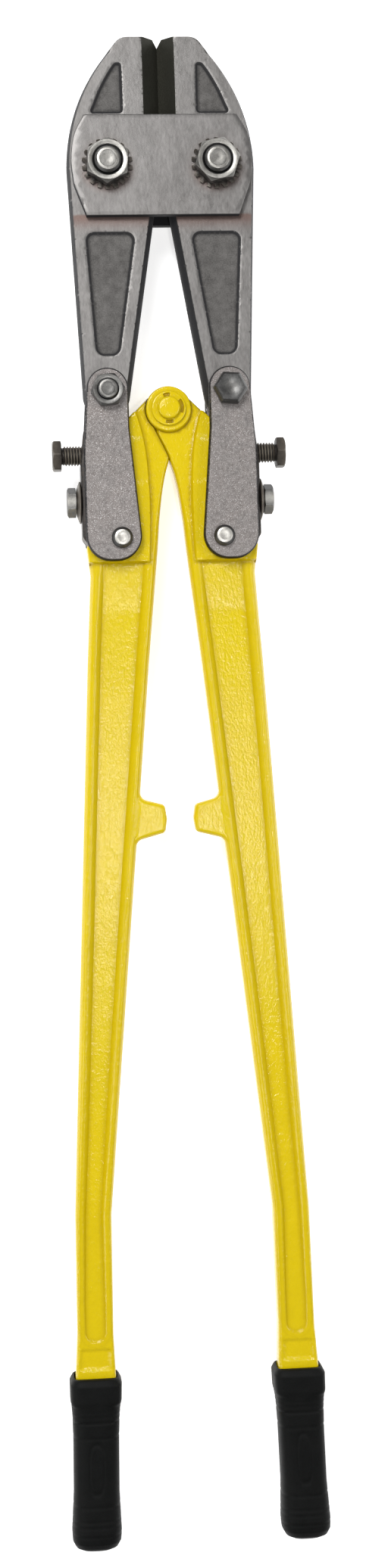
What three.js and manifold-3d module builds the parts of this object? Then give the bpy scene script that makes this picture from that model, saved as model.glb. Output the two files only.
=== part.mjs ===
// Bolt cutters of the 36 inch size, lying flat: +Y runs to the jaws, +X to the right, +Z up.
// Millimetres. Everything is drawn about the handle pivot, then the whole tool is set down so
// that the middle of its length is at Y = 0 and its lowest bolt heads stand on Z = 0.
import * as THREE from 'three';
import { mergeVertices } from 'three/addons/utils/BufferGeometryUtils.js';
import Module from 'manifold-3d';

// ---- Driving dimensions -------------------------------------------------------------------
const GAP = 0.3; // clearance kept between every two pieces that touch

// Jaws
const BOLT_X = 33; // main bolts, half their spacing
const BOLT_Y = 146.4; // main bolts above the handle pivot
const TIP_RISE = 78.6; // jaw tips above the main bolts
const JAW_THICK = 20;
const HEAD_HALF = 57; // half width across both closed jaws
const DOME_R = 107; // radius of each jaw's outer edge
const TIP_CORNER_R = 10;
const NOTCH_W = 2.7; // chamfer on each blade's tip corner
const NOTCH_H = 4.5;
const SEAM_GAP = 0.3; // between the two closed blades
const BLADE_W = 9.8; // width of each blade's ground bevel
const BLADE_EDGE = 2.4; // thickness left at the cutting edge
const BLADE_RUNS_UNDER = 6; // how far the bevel runs on under the side plates
const JAW_CHAMFER = 1;
const TAIL_R = 14.3; // round end of the jaw at its strap bolt

// Forged recesses in the jaws' faces: a triangle beside the blade and a panel along the arm
const RECESS_DEEP = 1.8;
const TRIANGLE_IN = 22.4; // its lower inner corner, from the seam
const TRIANGLE_RIM = 10; // steel left between it and the dome
const TRIANGLE_PEAK_W = 4; // width at its blunt peak
const TRIANGLE_DROP = 15.5; // peak below the jaw tip
const TRIANGLE_ABOVE = 2; // its lower edge above the side plates
const PANEL_BELOW = 8.5; // panel below the side plates
const PANEL_ABOVE = 11.5; // panel above the tail's round end
const PANEL_OUT_RIM = 7.8; // steel left outside and inside the panel
const PANEL_IN_RIM = 9.7;
const RECESS_R = 4; // corner radius of both recesses

// Side plates
const PLATE_THICK = 5;
const PLATE_HALF_W = 54.6;
const PLATE_UP = 30; // plate above the main bolts
const PLATE_DOWN = 30.6;
const PLATE_CUT = 8.5; // how far the plate's corners are cut in
const PLATE_CHAMFER = 0.5;

// Straps, and the pins and screws in them
const TAIL_X = 36.9; // strap bolts, half their spacing
const TAIL_Y = 10; // strap bolts above the handle pivot
const PIN_X = 30.8; // strap pins
const PIN_Y = -78.3;
const STRAP_THICK = 6.3;
const STRAP_TOP_R = 12.5;
const STRAP_OUT = 52.1; // outer edge of the straps at their lower end
const STRAP_IN = 17.4; // inner edge there
const STRAP_LOW = 13.6; // strap below its pin
const STRAP_CORNER_R = 15;
const STRAP_NECK = 22; // straight flank below the strap bolt
const STRAP_CHAMFER = 0.6;
const BLOCK_OUT = 54.1; // outer face of the adjusting block
const BLOCK_WIDE = 11.1;
const ADJUST_Y = -26.4;
const LOCK_Y = -54.8;
const BLOCK_ABOVE = 14.4; // block above the adjusting screw
const BLOCK_BELOW = 26.2; // block below the lock screw
const BLOCK_SLOPE = 2.3; // how far its top and bottom corners are drawn in
const BLOCK_CORNER_R = 1.5;
const ADJUST_THREAD = 11.3; // thread showing between block and screw head
const ADJUST_HEAD = 5.5;
const LOCK_HEAD = 5.6;
const LOCK_WASHER_R = 12.8;
const LOCK_WASHER_THICK = 2.6;
const LOCK_GRIP = 8; // depth of the lock screw's hole in the handle

// Fasteners: shank radius, size across flats, head and nut height
const MAIN_BOLT = { shank: 8, flats: 24, head: 10, nut: 8, proud: 2.2 };
const STRAP_BOLT = { shank: 6, flats: 18, head: 7.2, nut: 6.6, proud: 1.8 };
const ADJUST_SCREW = { shank: 6, flats: 17.4 };
const LOCK_SCREW = { shank: 5, flats: 16 };
const STRAP_PIN = { shank: 5, head: 6.3, rise: 3.6 };
const TOOTH_WASHER = { thick: 1.8, root: 13.2, tip: 15.3, teeth: 18 };
const TOOTH_SHARE = 0.4; // share of each tooth's pitch at its tip, and of the space at its root
const BOLT_CHAMFER = 1.4;
const NUT_SINK = 1.3; // countersink round a nut's bore

// Handle pivot
const EYE_R = 13.8;
const PIVOT_SHANK = 5;
const PIVOT_HEAD_R = 6.7;
const PIVOT_HEAD_H = 2.6;
const PIVOT_WASHER_R = 10.4;
const PIVOT_WASHER_THICK = 1.5;
const PIVOT_PLAY = 4.3; // room for the opened pivot to wander, hidden under the washer
const LAP_GAP = 0.4; // between the two eyes
const LAP_DROP = 52; // the eyes are half-lapped down to here

// Handles
const HANDLE_EASE = 0.1; // the handle's strap seat is this much thinner than the jaw, each side
const RIM_THICK = 16; // thickness over the raised rims, and of the half-lapped eyes' web
const UPPER_RUN = 487; // pivot to the bend
const BEND_R = 60;
const LOWER_RUN = 98; // bend to the top of the grip
const BEND_OUT = 71.2;
const BEND_IN = 49.3;
const END_OUT = 72.2; // above the grip, where the handle starts to flare
const END_IN = 50.4;
const FLARE_RUN = 26;
const FLARE_OUT = 2; // flare at the grip, outer and inner edge
const FLARE_IN = 0.9;
const FLARE_R = 20;
const SEAT_DROP = 92; // strap seat, from the pivot to its lower end
const SEAT_STEP = 14.2; // its inner edge, from the middle of the tool
const SEAT_NECK = 6; // and from the eye, beside it
const SHOULDER_OUT = 52.1; // handle just below the adjusting block
const WAIST_OUT = 50;
const WAIST_DROP = 99.5;
const WAIST_R = 12;
const NECK_IN = 9.4; // inner edge beside the strap ends
const NECK_DROP = 90;
const THROAT_DROP = 28.8; // where the two handles part below their eyes
const ARM_OUT = 53.5; // where the straight arm begins
const ARM_IN = 16.4;
const ARM_DROP = 155;
const WEB_THICK = 10;
const RIM_W = 5.6; // raised rim on both edges of the web
const WEB_END_R = 6;
const WEB_END_RISE = 22; // round end of the web above the grip
const LUG_DROP = 248.2;
const LUG_TIP_X = 6.9;
const LUG_TIP_HALF = 8.2;
const LUG_ROOT_HALF = 12.4;
const LUG_THICK = 13;
const LUG_TIP_R = 2.6;
const LUG_BULGE = 1.4; // the tip's middle stands out this far
const TAIL_ROOM = 2.2; // room between the jaw tail and the handle
const PIN_ROOM = 18; // the seat's edge draws in this far above the strap pin
const NOTCH_R = 2; // corners of the notch for the adjusting block
const FLANK_R = 6; // corner between the eye's flank and the handle's top

// Grips
const GRIP_LENGTH = 105;
const GRIP_THICK = 29;
const GRIP_ROUND = 5;
const GRIP_COLLAR = 15.8; // half widths
const GRIP_WAIST = 13.9;
const GRIP_END = 15.1;
const GRIP_LEAN = 2.2; // how far the grip's end stands out from its top
const COLLAR_TALL = 16;
const COLLAR_STEP = 8; // slope from the collar down to the waist
const BULGE_RISE = 10; // widest part of the end above its tip
const END_TAPER = 4;
const TANG_HALF = 8.6;
const TANG_THICK = 16;
const TANG_LENGTH = 82;
const TANG_ROOT = 3; // tang carried up into the handle

// ---- Derived places -------------------------------------------------------------------------
const TIP_Y = BOLT_Y + TIP_RISE;
const GRIP_TOP_Y = -(UPPER_RUN + LOWER_RUN);
const GRIP_BOTTOM_Y = GRIP_TOP_Y - GRIP_LENGTH;
const JAW_FACE = JAW_THICK / 2;
const PLATE_LOW = JAW_FACE + GAP;
const PLATE_FACE = PLATE_LOW + PLATE_THICK;
const STRAP_FACE = PLATE_LOW + STRAP_THICK;
const REST_Z = PLATE_FACE + GAP + MAIN_BOLT.head;
const CENTRE_Y = (TIP_Y + GRIP_BOTTOM_Y) / 2;
const BLOCK_IN = BLOCK_OUT - BLOCK_WIDE;
const BLOCK_TOP = ADJUST_Y + BLOCK_ABOVE;
const BLOCK_BOTTOM = LOCK_Y - BLOCK_BELOW;
const GRIP_MID = (END_OUT + FLARE_OUT + END_IN - FLARE_IN) / 2;
const SEAT_FACE = JAW_FACE - HANDLE_EASE;
const RIM_FACE = RIM_THICK / 2;
const NOTCH_X = BLOCK_IN - GAP; // the adjusting block lies in a notch of the handle
const HANDLE_TOP = TAIL_Y - TAIL_R - TAIL_ROOM;
const SHOULDER_Y = BLOCK_BOTTOM - GAP;
const SIDES = { left: -1, right: 1 };
const ROUND = 24; // facets on a shank or hole
const EDGE = 0.5; // small chamfer on the seat, eyes and turned pieces
const OVER = 1; // how far a cutting shape runs past what it cuts

// ---- Materials ------------------------------------------------------------------------------
const finish = (color, roughness, metalness) => (
  new THREE.MeshStandardMaterial({ color, roughness, metalness })
);
const GROUND_STEEL = finish(0x969391, 0.42, 0.9);
const FORGED_STEEL = finish(0x8f8b89, 0.6, 0.85);
const ZINC_STEEL = finish(0xa09d94, 0.4, 0.9);
const BLACK_STEEL = finish(0x232325, 0.5, 0.7);
const YELLOW_PAINT = finish(0xe8cf1e, 0.3, 0.0);
const BLACK_RUBBER = finish(0x1b1b1d, 0.75, 0.0);

// ---- Outline tools --------------------------------------------------------------------------
const at = (x, y) => new THREE.Vector2(x, y);

// Points on an arc round (x, y), from one angle to the other, in degrees.
function arc(x, y, radius, from, to, steps) {
  return Array.from({ length: steps + 1 }, (_, i) => {
    const angle = THREE.MathUtils.degToRad(from + ((to - from) * i) / steps);
    return at(x + radius * Math.cos(angle), y + radius * Math.sin(angle));
  });
}

const pairs = (points) => points.map((p) => [p.x, p.y]);
const circle = (x, y, radius, steps = ROUND) => arc(x, y, radius, 0, 360, steps).slice(0, -1);

// A closed outline whose corners [x, y, radius] are rounded by an arc that touches both edges.
function rounded(corners, steps = 3) {
  const points = [];
  corners.forEach(([x, y, radius = 0], i) => {
    const corner = at(x, y);
    if (radius === 0) {
      points.push(corner);
      return;
    }
    const [bx, by] = corners.at(i - 1);
    const [ax, ay] = corners[(i + 1) % corners.length];
    const back = at(bx, by).sub(corner);
    const ahead = at(ax, ay).sub(corner);
    const room = Math.min(back.length(), ahead.length()) * 0.49;
    back.normalize();
    ahead.normalize();
    const half = Math.acos(THREE.MathUtils.clamp(back.dot(ahead), -1, 1)) / 2;
    const reach = Math.min(radius / Math.tan(half), room);
    const fitted = reach * Math.tan(half);
    const middle = back.clone().add(ahead).normalize().multiplyScalar(fitted / Math.sin(half));
    const centre = corner.clone().add(middle);
    const start = corner.clone().addScaledVector(back, reach).sub(centre);
    const end = corner.clone().addScaledVector(ahead, reach).sub(centre);
    let turn = end.angle() - start.angle();
    turn -= 2 * Math.PI * Math.round(turn / (2 * Math.PI));
    for (let k = 0; k <= steps; k += 1) {
      points.push(start.clone().rotateAround(at(0, 0), (turn * k) / steps).add(centre));
    }
  });
  return points;
}

// Angle on a circle, in degrees, where a line from (px, py) touches it.
function touchAngle(px, py, x, y, radius, turn) {
  const away = at(px - x, py - y);
  const spread = Math.acos(radius / away.length());
  return THREE.MathUtils.radToDeg(Math.atan2(away.y, away.x) + turn * spread);
}

const sided = (points, side) => points.map((p) => at(p.x * side, p.y));

// ---- Solid tools ----------------------------------------------------------------------------
const wasm = await Module();
wasm.setup();

function solidOf(geometry) {
  const bare = geometry.clone();
  bare.deleteAttribute('normal');
  bare.deleteAttribute('uv');
  const merged = mergeVertices(bare);
  return new wasm.Manifold(new wasm.Mesh({
    numProp: 3,
    vertProperties: new Float32Array(merged.attributes.position.array),
    triVerts: new Uint32Array(merged.index.array),
  }));
}

function geometryOf(solid) {
  const mesh = solid.getMesh();
  const geometry = new THREE.BufferGeometry();
  geometry.setAttribute('position', new THREE.BufferAttribute(mesh.vertProperties, 3));
  geometry.setIndex(new THREE.BufferAttribute(mesh.triVerts, 1));
  geometry.computeVertexNormals();
  return geometry;
}

const join = (...shapes) => shapes.map(solidOf).reduce((whole, next) => whole.add(next));
const cut = (whole, ...shapes) => (
  shapes.map(solidOf).reduce((rest, next) => rest.subtract(next), whole)
);

// An outline raised from one height to another, with its edges chamfered.
function prism(points, low, high, chamfer = 0) {
  const body = new THREE.ExtrudeGeometry(new THREE.Shape(points), {
    depth: high - low - 2 * chamfer,
    bevelEnabled: chamfer > 0,
    bevelThickness: chamfer,
    bevelSize: chamfer,
    bevelOffset: -chamfer,
    bevelSegments: 1,
  });
  return body.translate(0, 0, low + chamfer);
}

// An outline in X and Z, carried along Y.
function prismAlongY(points, from, to) {
  return prism(points, -to, -from).rotateX(Math.PI / 2);
}

const hole = (x, y, radius) => prism(circle(x, y, radius), -2 * REST_Z, 2 * REST_Z);

// A round hole along X, from the middle of the tool out to the given side.
function holeAcross(side, y, radius, from, to) {
  const bore = prism(circle(0, 0, radius), from, to);
  return bore.rotateY((side * Math.PI) / 2).translate(0, y, 0);
}

// A turned piece on the Z axis, from a profile of [radius, height] pairs.
function turned(profile, steps = ROUND) {
  const lathe = new THREE.LatheGeometry(profile.map(([r, z]) => at(r, z)), steps);
  return lathe.rotateX(Math.PI / 2);
}

// A turned piece that is closed on the axis at both ends; its profile is given bottom to top.
const turnedSolid = (profile, steps) => (
  turned([[0, profile[0][1]], ...profile, [0, profile.at(-1)[1]]], steps)
);

// A hexagon head with its outer corners turned off on top.
function hexagon(flats, low, high, turn = 0) {
  const corner = flats / Math.sqrt(3);
  const block = prism(arc(0, 0, corner, turn, turn + 360, 6).slice(0, -1), low, high);
  const slope = corner - flats / 2;
  const limit = turnedSolid([
    [corner + GAP, low - GAP],
    [corner + GAP, high - slope * 0.6],
    [flats / 2 * 0.97, high + GAP * 0.1],
  ]);
  return solidOf(block).intersect(solidOf(limit));
}

// ---- The tool -------------------------------------------------------------------------------
const tool = new THREE.Group();
tool.name = 'bolt_cutters';
tool.position.set(0, -CENTRE_Y, REST_Z);

function place(name, shape, material, x = 0, y = 0, z = 0) {
  const geometry = shape instanceof THREE.BufferGeometry ? shape : geometryOf(shape);
  const mesh = new THREE.Mesh(geometry, material);
  mesh.name = name;
  mesh.position.set(x, y, z);
  tool.add(mesh);
  return mesh;
}

// ---- Jaws: dome, ground blade bevels, forged recesses, straight tail ------------------------
function jawOutline() {
  const seam = SEAM_GAP / 2;
  const domeX = HEAD_HALF - DOME_R;
  const cornerX = domeX + Math.sqrt(DOME_R ** 2 - TIP_RISE ** 2);
  const topAngle = THREE.MathUtils.radToDeg(Math.asin((TIP_RISE - TIP_CORNER_R * 0.6) / DOME_R));
  const tailEnd = touchAngle(seam, BOLT_Y, TAIL_X, TAIL_Y, TAIL_R, 1) - 360;
  return rounded([
    [seam, BOLT_Y],
    [seam, TIP_Y - NOTCH_H],
    [seam + NOTCH_W, TIP_Y],
    [cornerX, TIP_Y, TIP_CORNER_R],
    ...pairs(arc(domeX, BOLT_Y, DOME_R, topAngle, 0, 9)),
    ...pairs(arc(TAIL_X, TAIL_Y, TAIL_R, 0, tailEnd, 12)),
  ]);
}

// Outer and inner edge of a jaw's arm at a height between its bolts.
function armEdges(y) {
  const share = (BOLT_Y - y) / (BOLT_Y - TAIL_Y);
  const outer = HEAD_HALF + (TAIL_X + TAIL_R - HEAD_HALF) * share;
  const inner = (TAIL_X - TAIL_R) * share;
  return [outer, inner];
}

function makeJaw(side) {
  const plateTop = BOLT_Y + PLATE_UP;
  const plateBottom = BOLT_Y - PLATE_DOWN;
  const domeAt = (y) => HEAD_HALF - DOME_R + Math.sqrt(DOME_R ** 2 - (y - BOLT_Y) ** 2);
  const peak = TIP_Y - TRIANGLE_DROP;
  const foot = plateTop + TRIANGLE_ABOVE;
  const triangle = rounded([
    [TRIANGLE_IN, foot, RECESS_R],
    [domeAt(foot) - TRIANGLE_RIM, foot, RECESS_R],
    [domeAt(peak) - TRIANGLE_RIM, peak, RECESS_R],
    [domeAt(peak) - TRIANGLE_RIM - TRIANGLE_PEAK_W, peak, RECESS_R],
  ]);
  const high = plateBottom - PANEL_BELOW;
  const low = TAIL_Y + TAIL_R + PANEL_ABOVE;
  const [highOut, highIn] = armEdges(high);
  const [lowOut, lowIn] = armEdges(low);
  const panel = rounded([
    [highIn + PANEL_IN_RIM, high, RECESS_R],
    [highOut - PANEL_OUT_RIM, high, RECESS_R],
    [lowOut - PANEL_OUT_RIM, low, RECESS_R],
    [lowIn + PANEL_IN_RIM, low, RECESS_R],
  ]);
  const deep = JAW_FACE - RECESS_DEEP;
  const over = JAW_FACE + OVER;
  const cuts = [
    hole(side * BOLT_X, BOLT_Y, MAIN_BOLT.shank + GAP),
    hole(side * TAIL_X, TAIL_Y, STRAP_BOLT.shank + GAP),
  ];
  [[deep, over], [-over, -deep]].forEach(([floor, top]) => {
    cuts.push(prism(sided(triangle, side), floor, top));
    cuts.push(prism(sided(panel, side), floor, top));
  });
  [1, -1].forEach((face) => {
    const bevel = [
      at(-side * OVER, face * BLADE_EDGE / 2),
      at(side * SEAM_GAP / 2, face * BLADE_EDGE / 2),
      at(side * BLADE_W, face * JAW_FACE),
      at(side * BLADE_W, face * over),
      at(-side * OVER, face * over),
    ];
    cuts.push(prismAlongY(bevel, plateTop - BLADE_RUNS_UNDER, TIP_Y + OVER));
  });
  const body = prism(sided(jawOutline(), side), -JAW_FACE, JAW_FACE, JAW_CHAMFER);
  return cut(solidOf(body), ...cuts);
}

// ---- Side plates: flat steel with its corners cut back ----------------------------------------
function plateOutline() {
  const top = BOLT_Y + PLATE_UP;
  const bottom = BOLT_Y - PLATE_DOWN;
  const flank = new THREE.SplineCurve([
    at(PLATE_HALF_W - PLATE_CUT, top),
    at(PLATE_HALF_W - 2.2, top - 12),
    at(PLATE_HALF_W, top - 27),
    at(PLATE_HALF_W - 1.2, top - 41),
  ]).getPoints(8);
  const right = [...flank, at(PLATE_HALF_W - PLATE_CUT, bottom)];
  return [...right, ...sided(right, -1).reverse()];
}

function makePlate(low) {
  const plate = prism(plateOutline(), low, low + PLATE_THICK, PLATE_CHAMFER);
  return cut(solidOf(plate), ...Object.values(SIDES).map((side) => (
    hole(side * BOLT_X, BOLT_Y, MAIN_BOLT.shank + GAP)
  )));
}

// ---- Through bolts: hexagon head under one face, nut and chamfered end over the other ---------
function makeBolt(size, headFace, nutFace) {
  const seat = headFace + GAP;
  const end = nutFace + size.nut + 2 * GAP + size.proud;
  const shank = turnedSolid([
    [size.shank, -seat - OVER],
    [size.shank, end - BOLT_CHAMFER],
    [size.shank - BOLT_CHAMFER, end],
  ]);
  return hexagon(size.flats, seat, seat + size.head).rotate([180, 0, 0]).add(solidOf(shank));
}

function makeNut(size, face, bore) {
  const nut = hexagon(size.flats, face + GAP, face + GAP + size.nut, 30);
  const top = face + GAP + size.nut;
  const sink = turnedSolid([[bore - GAP, top - NUT_SINK], [bore + NUT_SINK, top + GAP]]);
  return cut(nut, hole(0, 0, bore), sink);
}

// ---- External tooth lock washer -----------------------------------------------------------------
function makeToothWasher({ thick, root, tip, teeth }, bore, low) {
  const outline = [];
  const pitch = 360 / teeth;
  for (let i = 0; i < teeth; i += 1) {
    const start = i * pitch;
    const half = start + pitch / 2;
    outline.push(...arc(0, 0, root, start, start + TOOTH_SHARE * pitch, 1));
    outline.push(...arc(0, 0, tip, half, half + TOOTH_SHARE * pitch, 1));
  }
  return cut(solidOf(prism(outline, low, low + thick)), hole(0, 0, bore));
}

// ---- Straps ---------------------------------------------------------------------------------------
function strapOutline() {
  const low = PIN_Y - STRAP_LOW;
  return rounded([
    ...pairs(arc(TAIL_X, TAIL_Y, STRAP_TOP_R, 0, 180, 12)),
    [TAIL_X - STRAP_TOP_R, TAIL_Y - STRAP_NECK],
    [STRAP_IN, low, STRAP_CORNER_R],
    [STRAP_OUT, low, STRAP_CORNER_R],
    [STRAP_OUT, ADJUST_Y],
  ], 6);
}

function makeStrap(side, low) {
  const strap = prism(sided(strapOutline(), side), low, low + STRAP_THICK, STRAP_CHAMFER);
  return cut(
    solidOf(strap),
    hole(side * TAIL_X, TAIL_Y, STRAP_BOLT.shank + GAP),
    hole(side * PIN_X, PIN_Y, STRAP_PIN.shank + GAP),
  );
}

// A pin with a low domed head on both straps.
function makeStrapPin() {
  const { shank, head, rise } = STRAP_PIN;
  const seat = STRAP_FACE + GAP;
  const top = [[head, seat], [head, seat + rise * 0.55], [head - 1.4, seat + rise]];
  const bottom = top.map(([r, z]) => [r, -z]).reverse();
  return turnedSolid([...bottom, [shank, -seat], [shank, seat], ...top]);
}

// ---- Adjusting block between the straps, tapped for the adjusting screw ----------------------------
function makeBlock(side) {
  const outline = rounded([
    [BLOCK_IN, BLOCK_TOP],
    [BLOCK_OUT - BLOCK_SLOPE, BLOCK_TOP, BLOCK_CORNER_R],
    [BLOCK_OUT, ADJUST_Y - ADJUST_SCREW.shank, 2 * BLOCK_CORNER_R],
    [BLOCK_OUT, BLOCK_BOTTOM + BLOCK_SLOPE, 2 * BLOCK_CORNER_R],
    [BLOCK_OUT - BLOCK_SLOPE, BLOCK_BOTTOM, BLOCK_CORNER_R],
    [BLOCK_IN, BLOCK_BOTTOM],
  ]);
  const near = BLOCK_IN - OVER;
  const far = BLOCK_OUT + OVER;
  return cut(
    solidOf(prism(sided(outline, side), -JAW_FACE, JAW_FACE, STRAP_CHAMFER)),
    holeAcross(side, ADJUST_Y, ADJUST_SCREW.shank + GAP, near, far),
    holeAcross(side, LOCK_Y, LOCK_SCREW.shank + GAP, near, far),
  );
}

// Screws that lie across the tool are drawn pointing up, then turned to point outwards.
function placeAcross(name, shape, material, side, y) {
  place(name, shape, material, 0, y, 0).rotation.y = (side * Math.PI) / 2;
}

function makeAdjustingScrew() {
  const under = BLOCK_OUT + ADJUST_THREAD;
  const shank = turnedSolid([
    [ADJUST_SCREW.shank - BOLT_CHAMFER, BLOCK_IN + GAP],
    [ADJUST_SCREW.shank, BLOCK_IN + GAP + BOLT_CHAMFER],
    [ADJUST_SCREW.shank, under + OVER],
  ]);
  return hexagon(ADJUST_SCREW.flats, under, under + ADJUST_HEAD).add(solidOf(shank));
}

function makeLockScrew() {
  const under = BLOCK_OUT + LOCK_WASHER_THICK + 2 * GAP;
  const shank = turnedSolid([
    [LOCK_SCREW.shank, BLOCK_IN - LOCK_GRIP + GAP],
    [LOCK_SCREW.shank, under + OVER],
  ]);
  return hexagon(LOCK_SCREW.flats, under, under + LOCK_HEAD, 30).add(solidOf(shank));
}

// Conical washer: a dished ring, widest against the block.
function makeLockWasher() {
  const low = BLOCK_OUT + GAP;
  const bore = LOCK_SCREW.shank + GAP;
  const seat = LOCK_SCREW.flats / Math.sqrt(3) + EDGE;
  return turned([
    [bore, low],
    [LOCK_WASHER_R - EDGE, low],
    [LOCK_WASHER_R, low + EDGE],
    [seat, low + LOCK_WASHER_THICK],
    [bore, low + LOCK_WASHER_THICK],
    [bore, low],
  ]);
}

// ---- Handles ------------------------------------------------------------------------------------------
const innerAt = (y) => THREE.MathUtils.mapLinear(y, -ARM_DROP, -UPPER_RUN, ARM_IN, BEND_IN);

// Inner edge of the handle from where the handles part down to the straight arm.
function throatCurve() {
  const fall = NECK_DROP - THROAT_DROP;
  return new THREE.SplineCurve([
    at(-GAP, -THROAT_DROP),
    at(NECK_IN * 0.42, -THROAT_DROP - fall * 0.25),
    at(NECK_IN * 0.75, -THROAT_DROP - fall * 0.59),
    at(NECK_IN, -NECK_DROP),
    at(ARM_IN, -ARM_DROP),
  ]).getPoints(9);
}

function handleOutline() {
  return rounded([
    ...pairs(arc(0, 0, EYE_R, 45, 229, 14)),
    ...pairs(throatCurve()),
    [BEND_IN, -UPPER_RUN, BEND_R],
    [END_IN, GRIP_TOP_Y + FLARE_RUN, FLARE_R],
    [END_IN - FLARE_IN, GRIP_TOP_Y],
    [END_OUT + FLARE_OUT, GRIP_TOP_Y],
    [END_OUT, GRIP_TOP_Y + FLARE_RUN, FLARE_R],
    [BEND_OUT, -UPPER_RUN, BEND_R],
    [ARM_OUT, -ARM_DROP],
    [WAIST_OUT, -WAIST_DROP, WAIST_R],
    [SHOULDER_OUT, SHOULDER_Y, NOTCH_R],
    [NOTCH_X, SHOULDER_Y],
    [NOTCH_X, HANDLE_TOP, NOTCH_R],
    [EYE_R * Math.SQRT2 - HANDLE_TOP, HANDLE_TOP, FLANK_R],
  ]);
}

// Inner edge of the thick strap seat: points from beside the eye down to its lower end.
const seatEdge = () => [
  [EYE_R + SEAT_NECK, -OVER],
  [SEAT_STEP, -THROAT_DROP],
  [SEAT_STEP - 1.4, PIN_Y + PIN_ROOM],
  [SEAT_STEP, -SEAT_DROP],
];

// The strap seat is as thick as the jaw's tail, so that the straps lie flat on both.
function seatOutline() {
  return rounded([
    ...seatEdge(),
    [WAIST_OUT, -SEAT_DROP, NOTCH_R],
    [SHOULDER_OUT, SHOULDER_Y, NOTCH_R],
    [NOTCH_X, SHOULDER_Y],
    [NOTCH_X, HANDLE_TOP, NOTCH_R],
    [EYE_R + SEAT_NECK + 5, HANDLE_TOP, NOTCH_R],
  ]);
}

// The stop lug stands out from the handle's inner edge.
function lugOutline() {
  const root = (y) => [innerAt(y) + RIM_W, y];
  return rounded([
    root(-LUG_DROP + LUG_ROOT_HALF),
    [innerAt(-LUG_DROP + LUG_ROOT_HALF), -LUG_DROP + LUG_ROOT_HALF],
    [LUG_TIP_X + LUG_BULGE, -LUG_DROP + LUG_TIP_HALF, LUG_TIP_R],
    [LUG_TIP_X, -LUG_DROP],
    [LUG_TIP_X + LUG_BULGE, -LUG_DROP - LUG_TIP_HALF, LUG_TIP_R],
    [innerAt(-LUG_DROP - LUG_ROOT_HALF), -LUG_DROP - LUG_ROOT_HALF],
    root(-LUG_DROP - LUG_ROOT_HALF),
  ]);
}

// The recessed web: one long channel on each face, with raised rims left on both edges.
function webOutline() {
  const endY = GRIP_TOP_Y + WEB_END_RISE;
  const endMid = (END_OUT + END_IN) / 2;
  return rounded([
    [NECK_IN + RIM_W, -SEAT_DROP, NOTCH_R],
    [ARM_IN + RIM_W, -ARM_DROP],
    [BEND_IN + RIM_W, -UPPER_RUN],
    [endMid - WEB_END_R, endY, WEB_END_R],
    [endMid + WEB_END_R, endY, WEB_END_R],
    [BEND_OUT - RIM_W, -UPPER_RUN],
    [ARM_OUT - RIM_W, -ARM_DROP],
    [WAIST_OUT - RIM_W, -SEAT_DROP, NOTCH_R],
  ]);
}

// The side of the seat's edge that is halved in thickness round the eye.
const lapOutline = () => [
  at(-EYE_R * 2, EYE_R * 2),
  at(EYE_R * 2, EYE_R * 2),
  ...seatEdge().slice(0, 2).map(([x, y]) => at(x, y)),
  at(NECK_IN, -LAP_DROP),
  at(-EYE_R * 2, -LAP_DROP),
];

function tangOutline(ease) {
  const half = TANG_HALF + ease;
  const lean = (GRIP_LEAN * TANG_LENGTH) / GRIP_LENGTH;
  const low = GRIP_TOP_Y - TANG_LENGTH - ease;
  return [
    at(GRIP_MID - half, GRIP_TOP_Y + TANG_ROOT),
    at(GRIP_MID - half + lean, low),
    at(GRIP_MID + half + lean, low),
    at(GRIP_MID + half, GRIP_TOP_Y + TANG_ROOT),
  ];
}

// The right handle's eye lies in front of the left one's. Each eye keeps a raised round boss.
function makeHandle(side) {
  const over = SEAT_FACE + OVER;
  const web = WEB_THICK / 2;
  const tang = TANG_THICK / 2 - EDGE;
  const half = LAP_GAP / 2;
  const inFront = side > 0;
  const lap = sided(lapOutline(), side);
  const channel = sided(webOutline(), side);
  const body = join(
    prism(sided(handleOutline(), side), -RIM_FACE, RIM_FACE, 2 * EDGE),
    prism(sided(seatOutline(), side), -SEAT_FACE, SEAT_FACE, EDGE),
    prism(sided(lugOutline(), side), -LUG_THICK / 2, LUG_THICK / 2, 2 * EDGE),
    prism(circle(0, 0, EYE_R), -SEAT_FACE, SEAT_FACE, EDGE),
    prism(sided(tangOutline(0), side), -tang, tang),
  );
  return cut(
    body,
    inFront ? prism(lap, -over, half) : prism(lap, -half, over),
    prism(channel, web, over),
    prism(channel, -over, -web),
    hole(0, 0, PIVOT_SHANK + (inFront ? PIVOT_PLAY : GAP)),
    hole(side * PIN_X, PIN_Y, STRAP_PIN.shank + GAP),
    holeAcross(side, LOCK_Y, LOCK_SCREW.shank + GAP, BLOCK_IN - LOCK_GRIP, BLOCK_IN + OVER),
  );
}

// ---- Handle pivot: a headed pin through both eyes, with a washer on each side ------------------
function makePivotPin() {
  const seat = SEAT_FACE + 2 * GAP + PIVOT_WASHER_THICK;
  const top = [
    [PIVOT_HEAD_R, seat],
    [PIVOT_HEAD_R, seat + PIVOT_HEAD_H * 0.7],
    [PIVOT_HEAD_R - 2 * EDGE, seat + PIVOT_HEAD_H],
  ];
  const bottom = top.map(([r, z]) => [r, -z]).reverse();
  return turnedSolid([...bottom, [PIVOT_SHANK, -seat], [PIVOT_SHANK, seat], ...top]);
}

function makePivotWasher(low) {
  const bore = PIVOT_SHANK + GAP;
  return turned([
    [bore, low],
    [PIVOT_WASHER_R, low],
    [PIVOT_WASHER_R, low + PIVOT_WASHER_THICK],
    [bore, low + PIVOT_WASHER_THICK],
    [bore, low],
  ]);
}

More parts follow.
